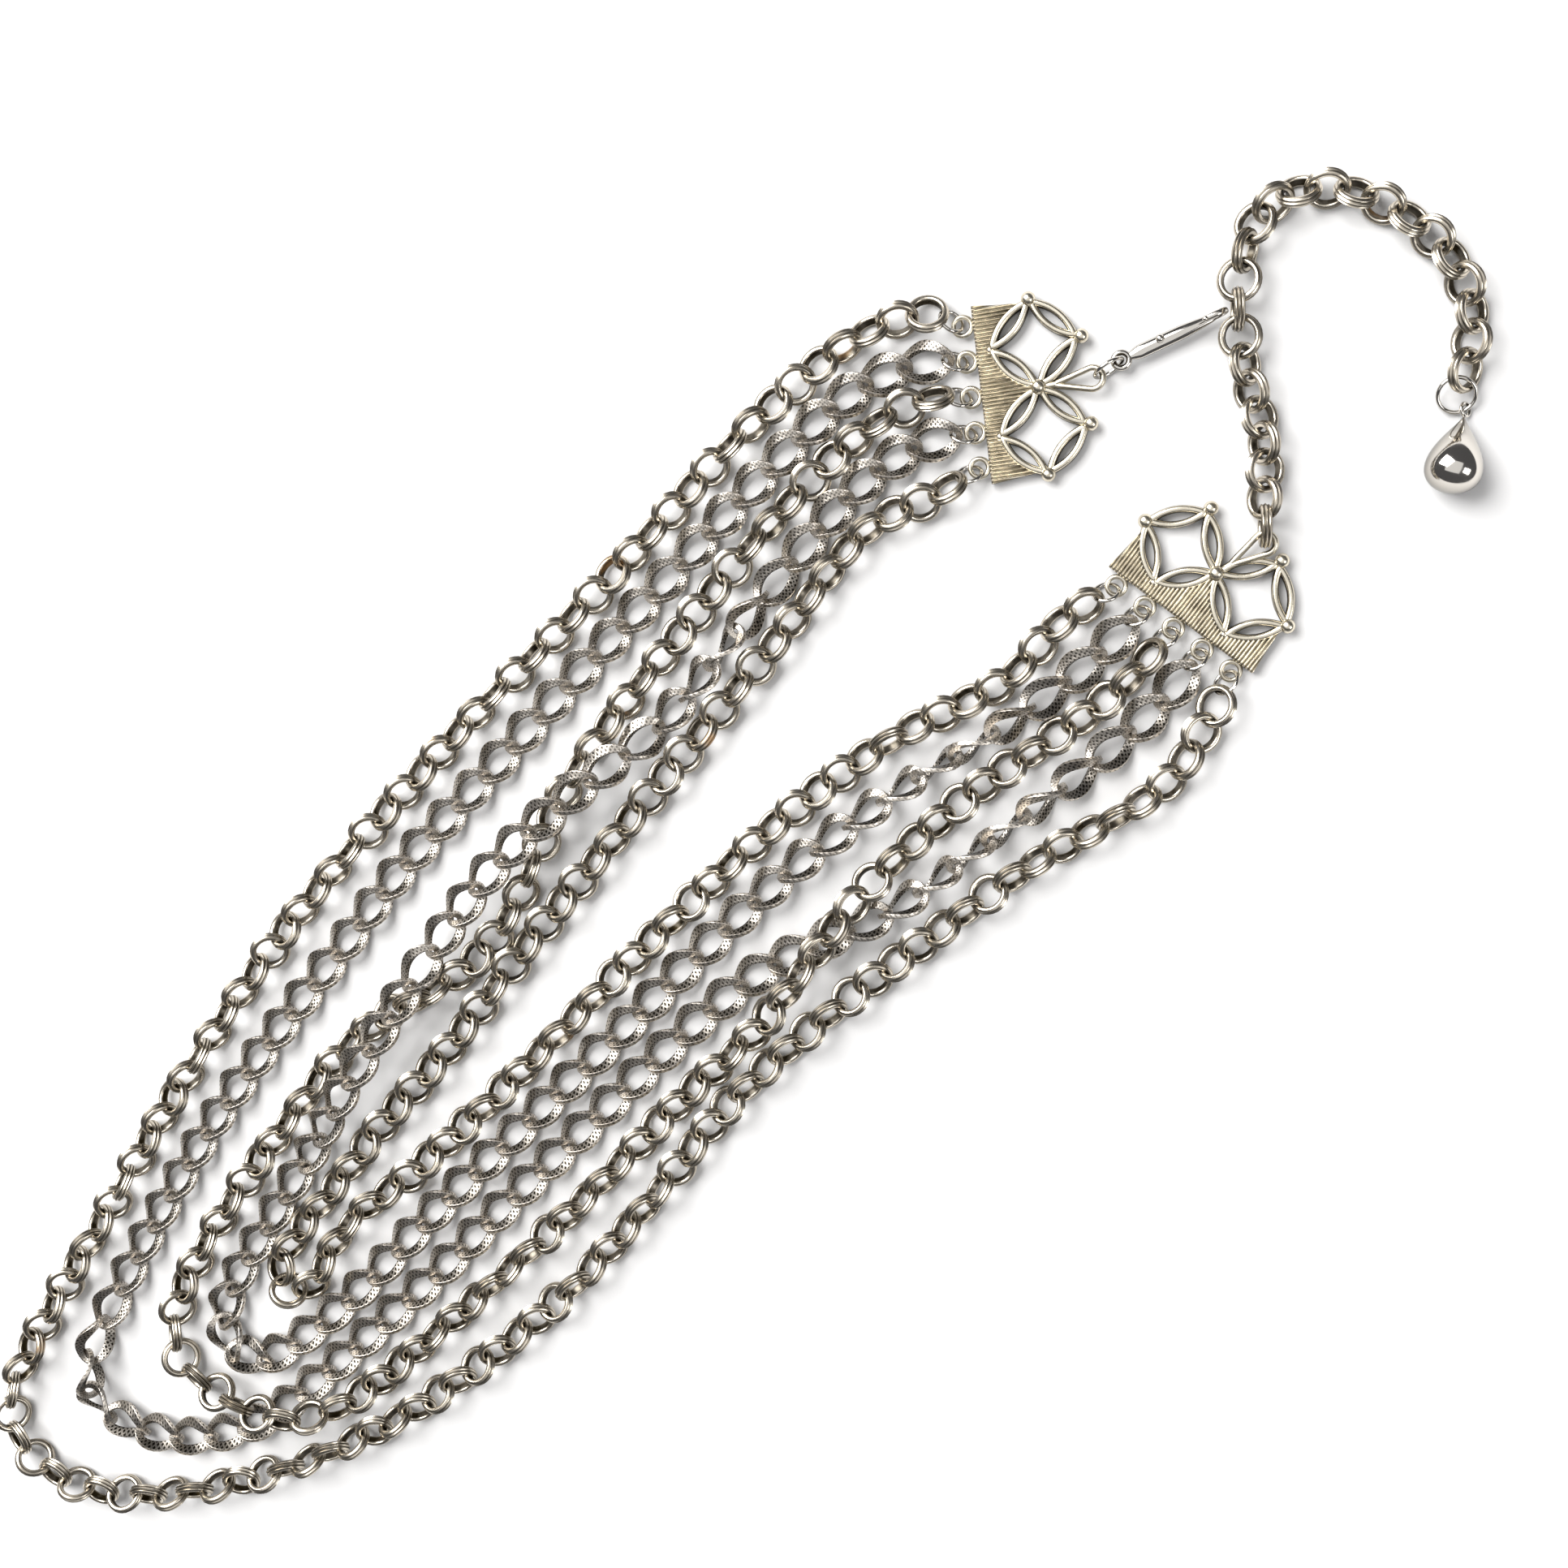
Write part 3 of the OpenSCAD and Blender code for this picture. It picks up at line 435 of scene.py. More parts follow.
def smooth_route(points):
    """A curve through the points, with ROUTE_STEPS steps between each two of them."""
    p = np.array(points, float)
    rows = []
    for i in range(len(p) - 1):
        a, b, c, d = p[max(i - 1, 0)], p[i], p[i + 1], p[min(i + 2, len(p) - 1)]
        for t in np.arange(ROUTE_STEPS) / ROUTE_STEPS:
            rows.append(0.5 * (2 * b + (c - a) * t + (2 * a - 5 * b + 4 * c - d) * t ** 2
                               + (3 * b - a - 3 * c + d) * t ** 3))
    return np.array(rows + [p[-1]])


for number, route in enumerate((ROUTE_1, ROUTE_2, ROUTE_3, ROUTE_4, ROUTE_5), 1):
    steps = np.diff(smooth_route(route)[:, :2], axis=0)
    print("route", number, "is %.0f mm long" % np.linalg.norm(steps, axis=1).sum())

# %% [markdown]
# ## The wires of the links
#
# A link is an oval ring of wire, and its look comes from the wire's own outline, its section.
# Rolo wire is crowned, with three ribs on its outer face and smooth, polished sides. Curb wire is
# a flat band with softened corners. A round bevel would be simpler, but it would lose the bright
# and dark lines that run along the real links, so both sections are listed point by point.

# %% Sizes of the links
# Half sizes go to the wire's middle line: along the chain, then across it.
ROLO_HALF = (2.65, 2.6)
ROLO_WIRE = 1.0
ROLO_BREADTH = 1.55
ROLO_CROWN = 0.3
ROLO_PITCH = 4.3
RIB_SPACING = ROLO_BREADTH / 3
RIB_DEPTH = 0.2
CURB_HALF = (3.85, 2.35)
CURB_WIRE = 0.74
CURB_BREADTH = 1.65
CURB_CORNER = 0.13
CURB_END = 0.8
CURB_TWIST = math.radians(49)
CURB_NARROWER = 0.47
CURB_ROLL = (math.radians(25), math.radians(40))  # on the window side, on the lee side
CURB_SHAPE = (CURB_TWIST, CURB_NARROWER, CURB_ROLL)
LINK_SIDES = 28
AROUND_LINK = 2 * math.pi * (np.arange(LINK_SIDES) + 0.5) / LINK_SIDES
print("a rolo link is %.1f mm long, a curb link %.1f mm" % (
    2 * ROLO_HALF[0] + ROLO_WIRE, 2 * CURB_HALF[0] + CURB_END))


# %% The two sections
def rolo_section():
    """Points around ribbed wire (outward, across), and how recessed each one is."""
    w, b = ROLO_WIRE / 2, ROLO_BREADTH / 2
    across = np.linspace(-b + 0.03, b - 0.03, 17)
    groove = 0.5 - 0.5 * np.cos(2 * math.pi * across / RIB_SPACING)
    outer = np.stack([w - RIB_DEPTH * groove - ROLO_CROWN * (across / b) ** 2, across], 1)
    side = [(w - 0.5, b - 0.02), (0.16 - w, b - 0.06), (0.04 - w, b - 0.2), (-w, b - 0.4)]
    sides = np.array(side + [(x, -y) for x, y in reversed(side)])
    side_recess = [0.1, 0.0, 0.1, 0.8]
    patina_and_shade = np.concatenate([0.85 * groove ** 2, side_recess, side_recess[::-1]])
    return np.concatenate([outer, sides]), patina_and_shade


def curb_section():
    """Points around flat wire with softened corners, and the painted shade of each along the link.
    """
    b, w, c = CURB_BREADTH / 2, CURB_WIRE / 2, CURB_CORNER
    quarter = [(0, w), (b / 2, w), (b - c, w), (b - c / 4, w - c / 4), (b, w - c)]
    points = quarter + [(x, -z) for x, z in reversed(quarter)]
    points += [(-x, z) for x, z in points[::-1][1:-1]]
    # Painted shade: the faces darken on one half of the link, which lay_chain puts on the lee side,
    # and less near the ends; the inner face is painted darker too, most at the middle of the sides,
    # and the edges a little lighter.
    near_end = np.cos(AROUND_LINK) ** 2
    face = 0.3 + 0.3 * np.maximum(np.sin(AROUND_LINK), 0) - 0.5 * near_end
    inner, outer = 0.6 - 0.4 * near_end, np.full(LINK_SIDES, -0.1)
    patina_and_shade = []
    for x, z in points:
        on_face = abs(z) > w - 0.01 and abs(x) < b - c / 2
        patina_and_shade.append(inner if x < c - b else face if on_face else outer)
    return np.array(points), np.stack(patina_and_shade, 1)


ROLO_SECTION, ROLO_RECESS = rolo_section()
CURB_SECTION, CURB_PAINTED_SHADE = curb_section()
print("points around the wire:", len(ROLO_SECTION), "rolo,", len(CURB_SECTION), "curb")

# %% [markdown]
# ## One link
#
# A real link is bent from wire, and a curb link is then twisted about its length, so that the
# chain lies flat. A curve with this section could be twisted by a modifier. Here the section is
# carried round the oval by a formula, because it also has to grow narrower at a link's ends,
# where its neighbours pass. A laid-out curb chain leans, so the band's face is rolled outwards on
# the side of the window and inwards on the lee side, where the inner face shows, painted darker
# as shade.


# %% Points of a link
def link_points(middle, along, turn, half, section, twist=0.0, narrower=0.0, roll=(0.0, 0.0)):
    """Points of one link, as rows around the oval and columns around the wire."""
    across = np.cross([0, 0, 1], along)
    across /= np.linalg.norm(across)
    rise = np.cross(along, across)
    side = across * math.cos(turn) + rise * math.sin(turn)
    axis = rise * math.cos(turn) - across * math.sin(turn)
    cos, sin = np.cos(AROUND_LINK), np.sin(AROUND_LINK)
    out = np.stack([half[1] * cos, half[0] * sin], 1)
    out /= np.linalg.norm(out, axis=1)[:, None]
    wide, high = (1 - narrower * cos ** 2)[:, None] * section[:, 0], section[:, 1]
    lee = sin * np.clip(3 * side[0], -1, 1)
    r = (axis[2] * (roll[0] * (1 - lee) - roll[1] * (1 + lee)) / 2)[:, None]
    reach, z = wide * np.cos(r) + high * np.sin(r), high * np.cos(r) - wide * np.sin(r)
    x = half[0] * cos[:, None] + out[:, :1] * reach
    y = half[1] * sin[:, None] + out[:, 1:] * reach
    w = (twist * cos)[:, None]
    turned_y, turned_z = y * np.cos(w) - z * np.sin(w), y * np.sin(w) + z * np.cos(w)
    return middle + x[..., None] * along + turned_y[..., None] * side + turned_z[..., None] * axis


def reach_down(turn, half, section, *shape):
    """How high a link's middle lies when its lowest point touches the table."""
    link = link_points(np.zeros(3), np.array([0, 1.0, 0]), turn, half, section, *shape)
    return -link[..., 2].min()


ROLO_LIE = reach_down(math.radians(45), ROLO_HALF, ROLO_SECTION)
CURB_LIE = reach_down(0.0, CURB_HALF, CURB_SECTION, *CURB_SHAPE)
print("a rolo chain lies %.2f mm high, a curb chain %.2f mm" % (2 * ROLO_LIE, 2 * CURB_LIE))

# %% [markdown]
# ## Laying links along a route
#
# An array along a curve would bend every link with the curve. Real links are stiff, so each one
# is placed by itself and only moved and turned. The route is measured along its length, and links
# are set at even steps. In a bend they sit closer together, so a bend counts for more length.


# %% Track and stations
def lay_track(points, lie, over, closer):
    """Lengths along a route, and its x, y, height and turn at each."""
    c = smooth_route(points)
    heights = np.array([lie(math.radians(t)) for t in c[:, 3]]) + np.maximum(c[:, 2], 0) * over
    places = np.column_stack([c[:, :2], heights])
    raised = np.column_stack([c[:, :2], np.maximum(c[:, 2], 0)])
    steps = np.diff(raised, axis=0)
    lengths = np.linalg.norm(steps, axis=1)
    bends = np.zeros(len(steps))
    for i in range(1, len(steps)):
        before, after = steps[i - 1], steps[i]
        bends[i] = math.atan2(np.linalg.norm(np.cross(before, after)), before @ after)
    return np.concatenate([[0], np.cumsum(lengths + closer * bends)]), places, np.radians(c[:, 3])


def place_at(track, s):
    """The place on a track at a length along it."""
    return np.array([np.interp(s, track[0], track[1][:, k]) for k in range(3)])


def way_at(track, s, h):
    """The direction of a track at a length along it."""
    d = place_at(track, s + h) - place_at(track, s - h)
    return d / np.linalg.norm(d)


def even_steps(start, end, reach):
    """Even steps from start to end, none longer than the links can reach."""
    return np.linspace(start, end, math.ceil((end - start) / reach) + 1)


print("steps over 100 mm of rolo chain:", len(even_steps(0, 100, ROLO_PITCH)) - 1)

# %% [markdown]
# ## Tilting the links
#
# Rolo links stand at 45 degrees to the table, each one square to the last. Nothing lies quite
# evenly, so every link also gets a small tilt of its own. Each tilt could be read off the real
# chain, but a seeded chance looks as natural and gives the same chain every time.

# %% Links of one chain
ROLO_WOBBLE = 19
CURB_WOBBLE = 5
EXTENDER_WOBBLE = 3
SQUARE_TURN = math.radians(90)


def lay_chain(track, stations, half, section, patina_and_shade, wobble, seed, step_turn=0.0, shape=()):
    """The links of one chain as shells, none of them below the table."""
    chance = np.random.default_rng(seed)
    around = 2 * math.pi * (half[0] + half[1]) / 2
    wire = np.linalg.norm(np.diff(section, axis=0), axis=1).sum()
    shells = []
    for k, s in enumerate(stations):
        turn = np.interp(s, track[0], track[2]) + (k % 2 + 0.5) * step_turn
        turn += math.radians(wobble) * chance.uniform(-1, 1)
        way = way_at(track, s, half[0])
        link = link_points(place_at(track, s), way, turn, half, section, *shape)
        link[..., 2] -= min(link[..., 2].min(), 0)
        # Rows of the curb's painted shade start on the lee side, but a curb chain running up the
        # table ends there.
        order = -1 if shape and math.cos(turn) * way[1] > 0 else 1
        shells.append(grid_shell(link, patina_and_shade[::order], size_mm=(around, wire)))
    return shells


print("tilts are up to", ROLO_WOBBLE, "degrees in rolo chain,", CURB_WOBBLE, "in curb chain")

# %% [markdown]
# ## Where the chains start
#
# Each plate has five rings along its ribbed edge, and a small loose ring joins each of them to
# its chain. The ends of the chains could be typed as points, but then they would come loose when
# a plate is moved, so they are worked out from each plate's own place and angle.

# %% Plates' places and the ends of the strands
LEFT_PLATE = ((-22.6, 58.5), -34.5)
RIGHT_PLATE = ((19.8, 58.4), 11.5)
RIGHT_LEAN = -21
RING_PITCH = 5.0
RING_WIRE = 0.7
RING_RADIUS = (3.3 - RING_WIRE) / 2
RING_OUT = RING_RADIUS + RING_WIRE / 4
JOINER_WIRE = 0.58
JOINER_RADIUS = (4.2 - JOINER_WIRE) / 2
PLAY = 0.12
JOINER_STEP = JOINER_RADIUS - PLAY
CURB_PLAY = 0.5
CURB_START_LIFT = 0.2
BEND_PLAY = 1.4
CHAIN_GAP = 0.15


def toward(angle):
    """Direction in the table at an angle in degrees."""
    return np.array([math.cos(math.radians(angle)), math.sin(math.radians(angle))])


def plate_spot(plate, p):
    """A point given in a plate's own coordinates."""
    place, angle = plate
    return np.array(place) + p[0] * toward(angle) + p[1] * toward(angle + 90)


def between(n, route, lift=0.0):
    """A strand's route with its two rings added, for strand 1 (outer) to 5 (inner)."""
    a = plate_spot(LEFT_PLATE, ((n - 3) * RING_PITCH, -RING_OUT))
    b = plate_spot(RIGHT_PLATE, ((3 - n) * RING_PITCH, -RING_OUT))
    return [(*a, lift, route[0][3]), *route, (*b, lift, route[-1][3])]


for plate in (LEFT_PLATE, RIGHT_PLATE):
    print("middle ring at", plate_spot(plate, (0, -RING_OUT)).round(1), "mm")

# %% [markdown]
# ## The three rolo strands
#
# Rolo chain has round links of one size, here the ribbed ones. The outer, middle and inner
# strands are rolo. They differ in nothing but their route, so one function makes all three, and
# each takes a seed from its number.


# %% Strands 1, 3 and 5
def rolo_strand(n, route):
    """One rolo strand between its two loose rings."""
    track = lay_track(between(n, route), lambda turn: ROLO_LIE, 2 * CURB_LIE + CHAIN_GAP, 0.0)
    start = JOINER_STEP + JOINER_RADIUS + ROLO_HALF[0] - (JOINER_WIRE + ROLO_WIRE) / 2 - PLAY
    stations = even_steps(start, track[0][-1] - start, ROLO_PITCH)
    shells = lay_chain(track, stations, ROLO_HALF, ROLO_SECTION, ROLO_RECESS,
                       ROLO_WOBBLE, seed=10 + n, step_turn=SQUARE_TURN)
    make_piece("rolo_strand_%d" % n, shells, rolo_silver, "strand_%d" % n)


for n, route in ((1, ROUTE_1), (3, ROUTE_3), (5, ROUTE_5)):
    rolo_strand(n, route)

# %% [markdown]
# ## The two curb strands
#
# Curb chain has twisted oval links that all lie the same way. A link that turns over reaches
# further down, so the height of the chain is worked out anew at each turn. The same tools lay it,
# with the twisted, narrowed and rolled shape of a curb link added.


# %% Strands 2 and 4
def curb_strand(n, route):
    """One curb strand between its two loose rings."""
    track = lay_track(between(n, route, CURB_START_LIFT),
                      lambda turn: reach_down(turn, CURB_HALF, CURB_SECTION, *CURB_SHAPE),
                      2 * ROLO_LIE + CHAIN_GAP, BEND_PLAY)
    start = JOINER_STEP + JOINER_RADIUS + CURB_HALF[0] - (JOINER_WIRE + CURB_END) / 2 - CURB_PLAY
    stations = even_steps(start, track[0][-1] - start, 2 * CURB_HALF[0] - CURB_END - CURB_PLAY)
    shells = lay_chain(track, stations, CURB_HALF, CURB_SECTION, CURB_PAINTED_SHADE,
                       CURB_WOBBLE, seed=20 + n, shape=CURB_SHAPE)
    make_piece("curb_strand_%d" % n, shells, pewter, "strand_%d" % n)


for n, route in ((2, ROUTE_2), (4, ROUTE_4)):
    curb_strand(n, route)

# %% [markdown]
# ## The extender
#
# It is the same rolo chain. It starts in the right plate's leaning loop, carries the hook in one
# of its links, curls round and ends at the ring of the drop. It could be laid in one go, but a
# link has to lie exactly where the hook's bend is, so it is laid in two stretches that meet there.

# %% Where the extender starts, is caught and ends
SQUARE_HALF = 6.1
SQUARE_BASE = 2.0
BALL_V = SQUARE_BASE + SQUARE_HALF
MID_Z = 1.1
LOOP_LENGTH = 9.6
LOOP_WIDTH = 3.8
LOOP_WIRE = 0.85
LOOP_RISE = math.radians(8)
LOOP_ROUND = LOOP_LENGTH - LOOP_WIDTH / 2
LOOP_BOW = (LOOP_WIDTH - LOOP_WIRE) / 2
CAUGHT_LINK = (-7.2, 91.8)
DROP_RING_PLACE = (21.2, 105.5)
DROP_RING_WIRE = 0.56
DROP_RING_RADIUS = (5.5 - DROP_RING_WIRE) / 2
EXTENDER_REACH = 2.7
EXTENDER_WIRE = 0.8
FIRST_LINK_WAY = 140
FIRST_LINK_TURN = 45
FIRST_PLAY = 0.96
END_PLAY = 1.1


def loop_end(plate, lean):
    """The middle of the round end of a plate's pear loop."""
    reach = LOOP_ROUND * math.cos(LOOP_RISE)
    return plate_spot(plate, (0, BALL_V)) + reach * toward(plate[1] + 90 + lean)


print("the loops end at", loop_end(LEFT_PLATE, 0).round(1),
      "and", loop_end(RIGHT_PLATE, RIGHT_LEAN).round(1), "mm")


# %% Extender chain
def extender_lie(turn):
    """How high the extender lies at a turn: as high as the worse placed of two links."""
    return max(reach_down(turn + a, ROLO_HALF, ROLO_SECTION) for a in (math.pi / 4, -math.pi / 4))


def extender():
    """The extender's links, from the plate's loop to the caught link and on to the drop ring."""
    first_step = LOOP_BOW + EXTENDER_REACH - (LOOP_WIRE + EXTENDER_WIRE) / 2 - FIRST_PLAY
    first = loop_end(RIGHT_PLATE, RIGHT_LEAN) + first_step * toward(FIRST_LINK_WAY)
    points = [(*first, 0, FIRST_LINK_TURN), *EXTENDER_ROUTE, (*DROP_RING_PLACE, 0, 0)]
    track = lay_track(points, extender_lie, 0.0, BEND_PLAY)
    apart = track[1][:, :2] - CAUGHT_LINK
    caught = track[0][np.hypot(apart[:, 0], apart[:, 1]).argmin()]
    last_step = DROP_RING_RADIUS + EXTENDER_REACH - (DROP_RING_WIRE + EXTENDER_WIRE) / 2 - END_PLAY
    end = track[0][-1] - last_step
    stations = np.concatenate([
        even_steps(0, caught, ROLO_PITCH), even_steps(caught, end, ROLO_PITCH)[1:]])
    shells = lay_chain(track, stations, ROLO_HALF, ROLO_SECTION, ROLO_RECESS,
                       EXTENDER_WOBBLE, seed=31, step_turn=SQUARE_TURN)
    make_piece("extender_links", shells, rolo_silver, "extender_chain")


extender()

# %% [markdown]
# ## Wires, balls and pears
#
# Everything else is made of wire, balls and one pear. Each could be a primitive of its own kind.
# One tool does for them all: a section is carried along a path that lies in one plane, and grows
# or shrinks on the way. A ring is a circle carried along a circle, and a pear is a circle carried
# along a straight line while it widens and closes again.


# %% Swept shells
def circle_section(sides=16):
    """A circle of radius 1, as (across, along the plane's normal)."""
    b = 2 * math.pi * np.arange(sides) / sides
    return np.stack([np.cos(b), np.sin(b)], 1)


ROUND = circle_section()


def swept(path, sizes, normal=(0, 0, 1), section=ROUND, patina_and_shade=0.0, closed=True):
    """A shell from a section carried along a path in the plane with this normal."""
    path, normal = np.asarray(path, float), np.asarray(normal, float)
    ahead = np.roll(path, -1, 0) - np.roll(path, 1, 0) if closed else np.gradient(path, axis=0)
    side = np.cross(normal, ahead)
    side /= np.linalg.norm(side, axis=1)[:, None]
    sizes = np.broadcast_to(sizes, len(path))[:, None, None]
    points = path[:, None] + sizes * (section[:, :1] * side[:, None] + section[:, 1:] * normal)
    return grid_shell(points, patina_and_shade, closed)


print("a round wire has", len(ROUND), "sides")


# %% Circles and balls
def circle_path(middle, normal, radius, steps=40):
    """A circle about a middle point, square to a normal."""
    normal = np.asarray(normal, float)
    first = np.cross(normal, [0, 0, 1] if abs(normal[2]) < 0.9 else [1, 0, 0])
    first /= np.linalg.norm(first)
    b = (2 * math.pi * np.arange(steps) / steps)[:, None]
    return middle + radius * (np.cos(b) * first + np.sin(b) * np.cross(normal, first))


def ball(middle, radius, steps=14):
    """A ball, carried up its own axis."""
    b = np.linspace(0.06, math.pi - 0.06, steps)
    path = np.asarray(middle, float) + np.outer(-np.cos(b) * radius, [0, 0, 1])
    return swept(path, np.sin(b) * radius, (1, 0, 0), circle_section(20), closed=False)


print("a ball has", len(ball((0, 0, 0), 1.0)[1]), "faces")

# %% [markdown]
# ## The end plates
#
# Each plate was cast in one piece: a ribbed sheet, eight pointed ovals called navettes around two
# open squares, balls at the corners, five rings and a pear loop. The casting was darkened and
# buffed, so the tops of the rims shine, while their walls and the grooves between the ribs stay
# brown. The openings could be cut out of a block, but building up the rims that are left between
# them keeps each rim rounded. The ribs are about 0.5 mm apart, wide enough to be real shapes
# here and not a pattern.

# %% Rims of the navettes, in the plate's own coordinates
NAVETTE_LENGTH = SQUARE_HALF * math.sqrt(2) - 0.9
NAVETTE_WIDTH = 2.1
RIM_SECTION = np.array([(-0.5, -0.75), (-0.5, 0.3), (-0.42, 0.62), (-0.22, 0.8),
                        (0.22, 0.8), (0.42, 0.62), (0.5, 0.3), (0.5, -0.75)])
RIM_RECESS = [1, 0.75, 0.05, 0, 0, 0.05, 0.75, 1]


def navette_path(a, b, steps=24):
    """The middle line of a navette's rim, a pointed oval between two corners of a square."""
    a, b = np.array(a, float), np.array(b, float)
    e = (b - a) / np.linalg.norm(b - a)
    p = np.linspace(-1, 1, steps + 1)[:-1]
    half = 0.5 * NAVETTE_WIDTH * (1 - p ** 2)
    there = np.outer(p, e) * NAVETTE_LENGTH / 2 + np.outer(-half, (-e[1], e[0]))
    again = np.outer(-p, e) * NAVETTE_LENGTH / 2 + np.outer(half, (-e[1], e[0]))
    flat = (a + b) / 2 + np.concatenate([there, again])
    return np.column_stack([flat, np.full(len(flat), MID_Z)])


def square_corners(m):
    """Corners of one square, on the left (-1) or the right (1)."""
    s, v = SQUARE_HALF, BALL_V
    return [(m * s, v - s), (m * 2 * s, v), (m * s, v + s), (0, v)]


print("a navette is %.1f mm long" % NAVETTE_LENGTH)

# %% The ribbed sheet
PLATE_HALF = 12.5
RIBS = 47
STEPS_PER_RIB = 8
RIB_LOW = 0.28
SHEET_UP = 0.72
SHEET_DOWN = 0.6
SHEET_EDGE = 0.4


def sheet_edge():
    """The sheet's far edge, which runs under the rims of the lower navettes."""
    edge = [(-PLATE_HALF, SHEET_EDGE)]
    for m, k in ((-1, 0), (-1, 3), (1, 3), (1, 0)):
        corners = square_corners(m)
        a, b = np.array(corners[k]), np.array(corners[(k + 1) % 4])
        rim = navette_path(a, b)[:, :2]
        lower = [q for q in rim if np.cross(b - a, q - a) * (b - a)[0] < -0.2]
        edge += sorted(tuple(q) for q in lower)
    return np.array(edge + [(PLATE_HALF, SHEET_EDGE)])


def ribbed_sheet():
    """The ribbed sheet, with a rounded near edge and a wave across it for the ribs."""
    edge = sheet_edge()
    u = np.linspace(-PLATE_HALF, PLATE_HALF, RIBS * STEPS_PER_RIB + 1)
    far = np.interp(u, edge[:, 0], edge[:, 1])
    groove = 0.5 - 0.5 * np.cos(2 * math.pi * np.arange(len(u)) / STEPS_PER_RIB)
    top = MID_Z + SHEET_UP - RIB_LOW * groove
    under = np.full(len(u), MID_Z - SHEET_DOWN)
    rows = [np.stack([u, 0 * u, under], 1)]
    for y, lower in ((0, 0.25), (0.12, 0.06), (0.35, 0)):
        rows.append(np.stack([u, np.full(len(u), y), top - lower], 1))
    rows += [np.stack([u, far, top], 1), np.stack([u, far, under], 1)]
    patina_and_shade = np.stack([0.72 * groove ** 1.6] * len(rows), 1)
    patina_and_shade[:, [0, -1]] = 0.9
    return grid_shell(np.stack(rows, 1), patina_and_shade, closed=False)


print("ribs are %.2f mm apart" % (2 * PLATE_HALF / RIBS))

# %% The pear loop
LOOP_TIP = 2.0
LOOP_THICK = 0.44
STALK_THICK = 0.5
LOOP_RECESS = 0.12


def pear_loop(lean):
    """The pear loop's wire and its stalk, which rise a little and may lean over."""
    r, c, tip = LOOP_BOW, LOOP_ROUND, np.array([0, LOOP_TIP])
    a = math.acos(r / (c - LOOP_TIP))
    b = np.linspace(a - math.pi / 2, 1.5 * math.pi - a, 25)
    bow = np.stack([r * np.cos(b), c + r * np.sin(b)], 1)
    share = np.linspace(0, 1, 8)[1:-1, None]
    loop = np.concatenate([bow, bow[-1] + share * (tip - bow[-1]), [tip],
                           tip + share * (bow[0] - tip)])
    stalk = np.array([[0, 0.8], [0, 1.6], [0, 2.4]])
    shells = []
    for line, closed, thick in ((loop, True, LOOP_THICK), (stalk, False, STALK_THICK)):
        y, z = line[:, 1] * math.cos(LOOP_RISE), line[:, 1] * math.sin(LOOP_RISE)
        turned = line[:, :1] * toward(lean) + y[:, None] * toward(lean + 90)
        path = np.column_stack([turned + [0, BALL_V], MID_Z + z])
        shells.append(swept(path, thick, patina_and_shade=LOOP_RECESS, closed=closed))
    return shells


print("the loops rise %.1f mm" % (LOOP_LENGTH * math.sin(LOOP_RISE)))

# %% The two plates
CORNER_BALLS = [  # across, up the plate, height over the middle, radius
    (2 * SQUARE_HALF + 0.1, BALL_V, 0.4, 1.05),
    (SQUARE_HALF, BALL_V + SQUARE_HALF + 0.6, 0.4, 1.05),
    (SQUARE_HALF, BALL_V - SQUARE_HALF, 0.15, 0.62)]
CENTRE_BALL = (0.7, 1.1)  # height over the middle, radius
RING_RECESS = 0.15


def end_plate(name, plate, lean):
    """One end plate, moved to where it lies."""
    shells = [ribbed_sheet()]
    for m in (-1, 1):
        corners = square_corners(m)
        for k in range(4):
            path = navette_path(corners[k], corners[(k + 1) % 4])
            shells.append(swept(path, 1.0, section=RIM_SECTION, patina_and_shade=RIM_RECESS))
        for u, v, high, radius in CORNER_BALLS:
            shells.append(ball((m * u, v, MID_Z + high), radius))
    shells.append(ball((0, BALL_V, MID_Z + CENTRE_BALL[0]), CENTRE_BALL[1]))
    for k in range(-2, 3):
        path = circle_path((k * RING_PITCH, -RING_OUT, MID_Z), (0, 0, 1), RING_RADIUS)
        shells.append(swept(path, RING_WIRE / 2, patina_and_shade=RING_RECESS))
    shells += pear_loop(lean)
    place, angle = plate
    moved = []
    for points, *rest in shells:
        flat = points[:, :1] * toward(angle) + points[:, 1:2] * toward(angle + 90) + place
        moved.append((np.column_stack([flat, points[:, 2]]), *rest))
    make_piece("cast_" + name, moved, plate_silver, name)


end_plate("plate_left", LEFT_PLATE, 0)
end_plate("plate_right", RIGHT_PLATE, RIGHT_LEAN)

# %% [markdown]
# ## The hook
#
# The hook is one piece of wire with an eye at one end, hammered wider along its bar and bent up
# and back at the other. It could be modelled from a flattened cylinder. A path with a width at
# each point follows the way in which it is really made. A small tongue stands up on the bar.

# %% Hook
HOOK_ANGLE = 72
HOOK_LENGTH = 13.9
HOOK_WIRE = 0.85
HOOK_Z = 1.7
HOOK_THIN = 0.42
HOOK_HAMMERED = 0.58
HOOK_FLATTENED = 0.6
HOOK_TIP = ((0.8, 0.38), (1.6, 0.3))  # how far back from the bend, half width
BEND_RADIUS = 1.5
EYE_RADIUS = (3.0 - HOOK_WIRE) / 2
HOOK_RING_RADIUS = (4.9 - JOINER_WIRE) / 2
RING_WAY = 80
RING_TO_EYE = 0.95
TONGUE_PLACE = (5.9, 0.4, 0.75)
TONGUE_RADIUS = 0.62


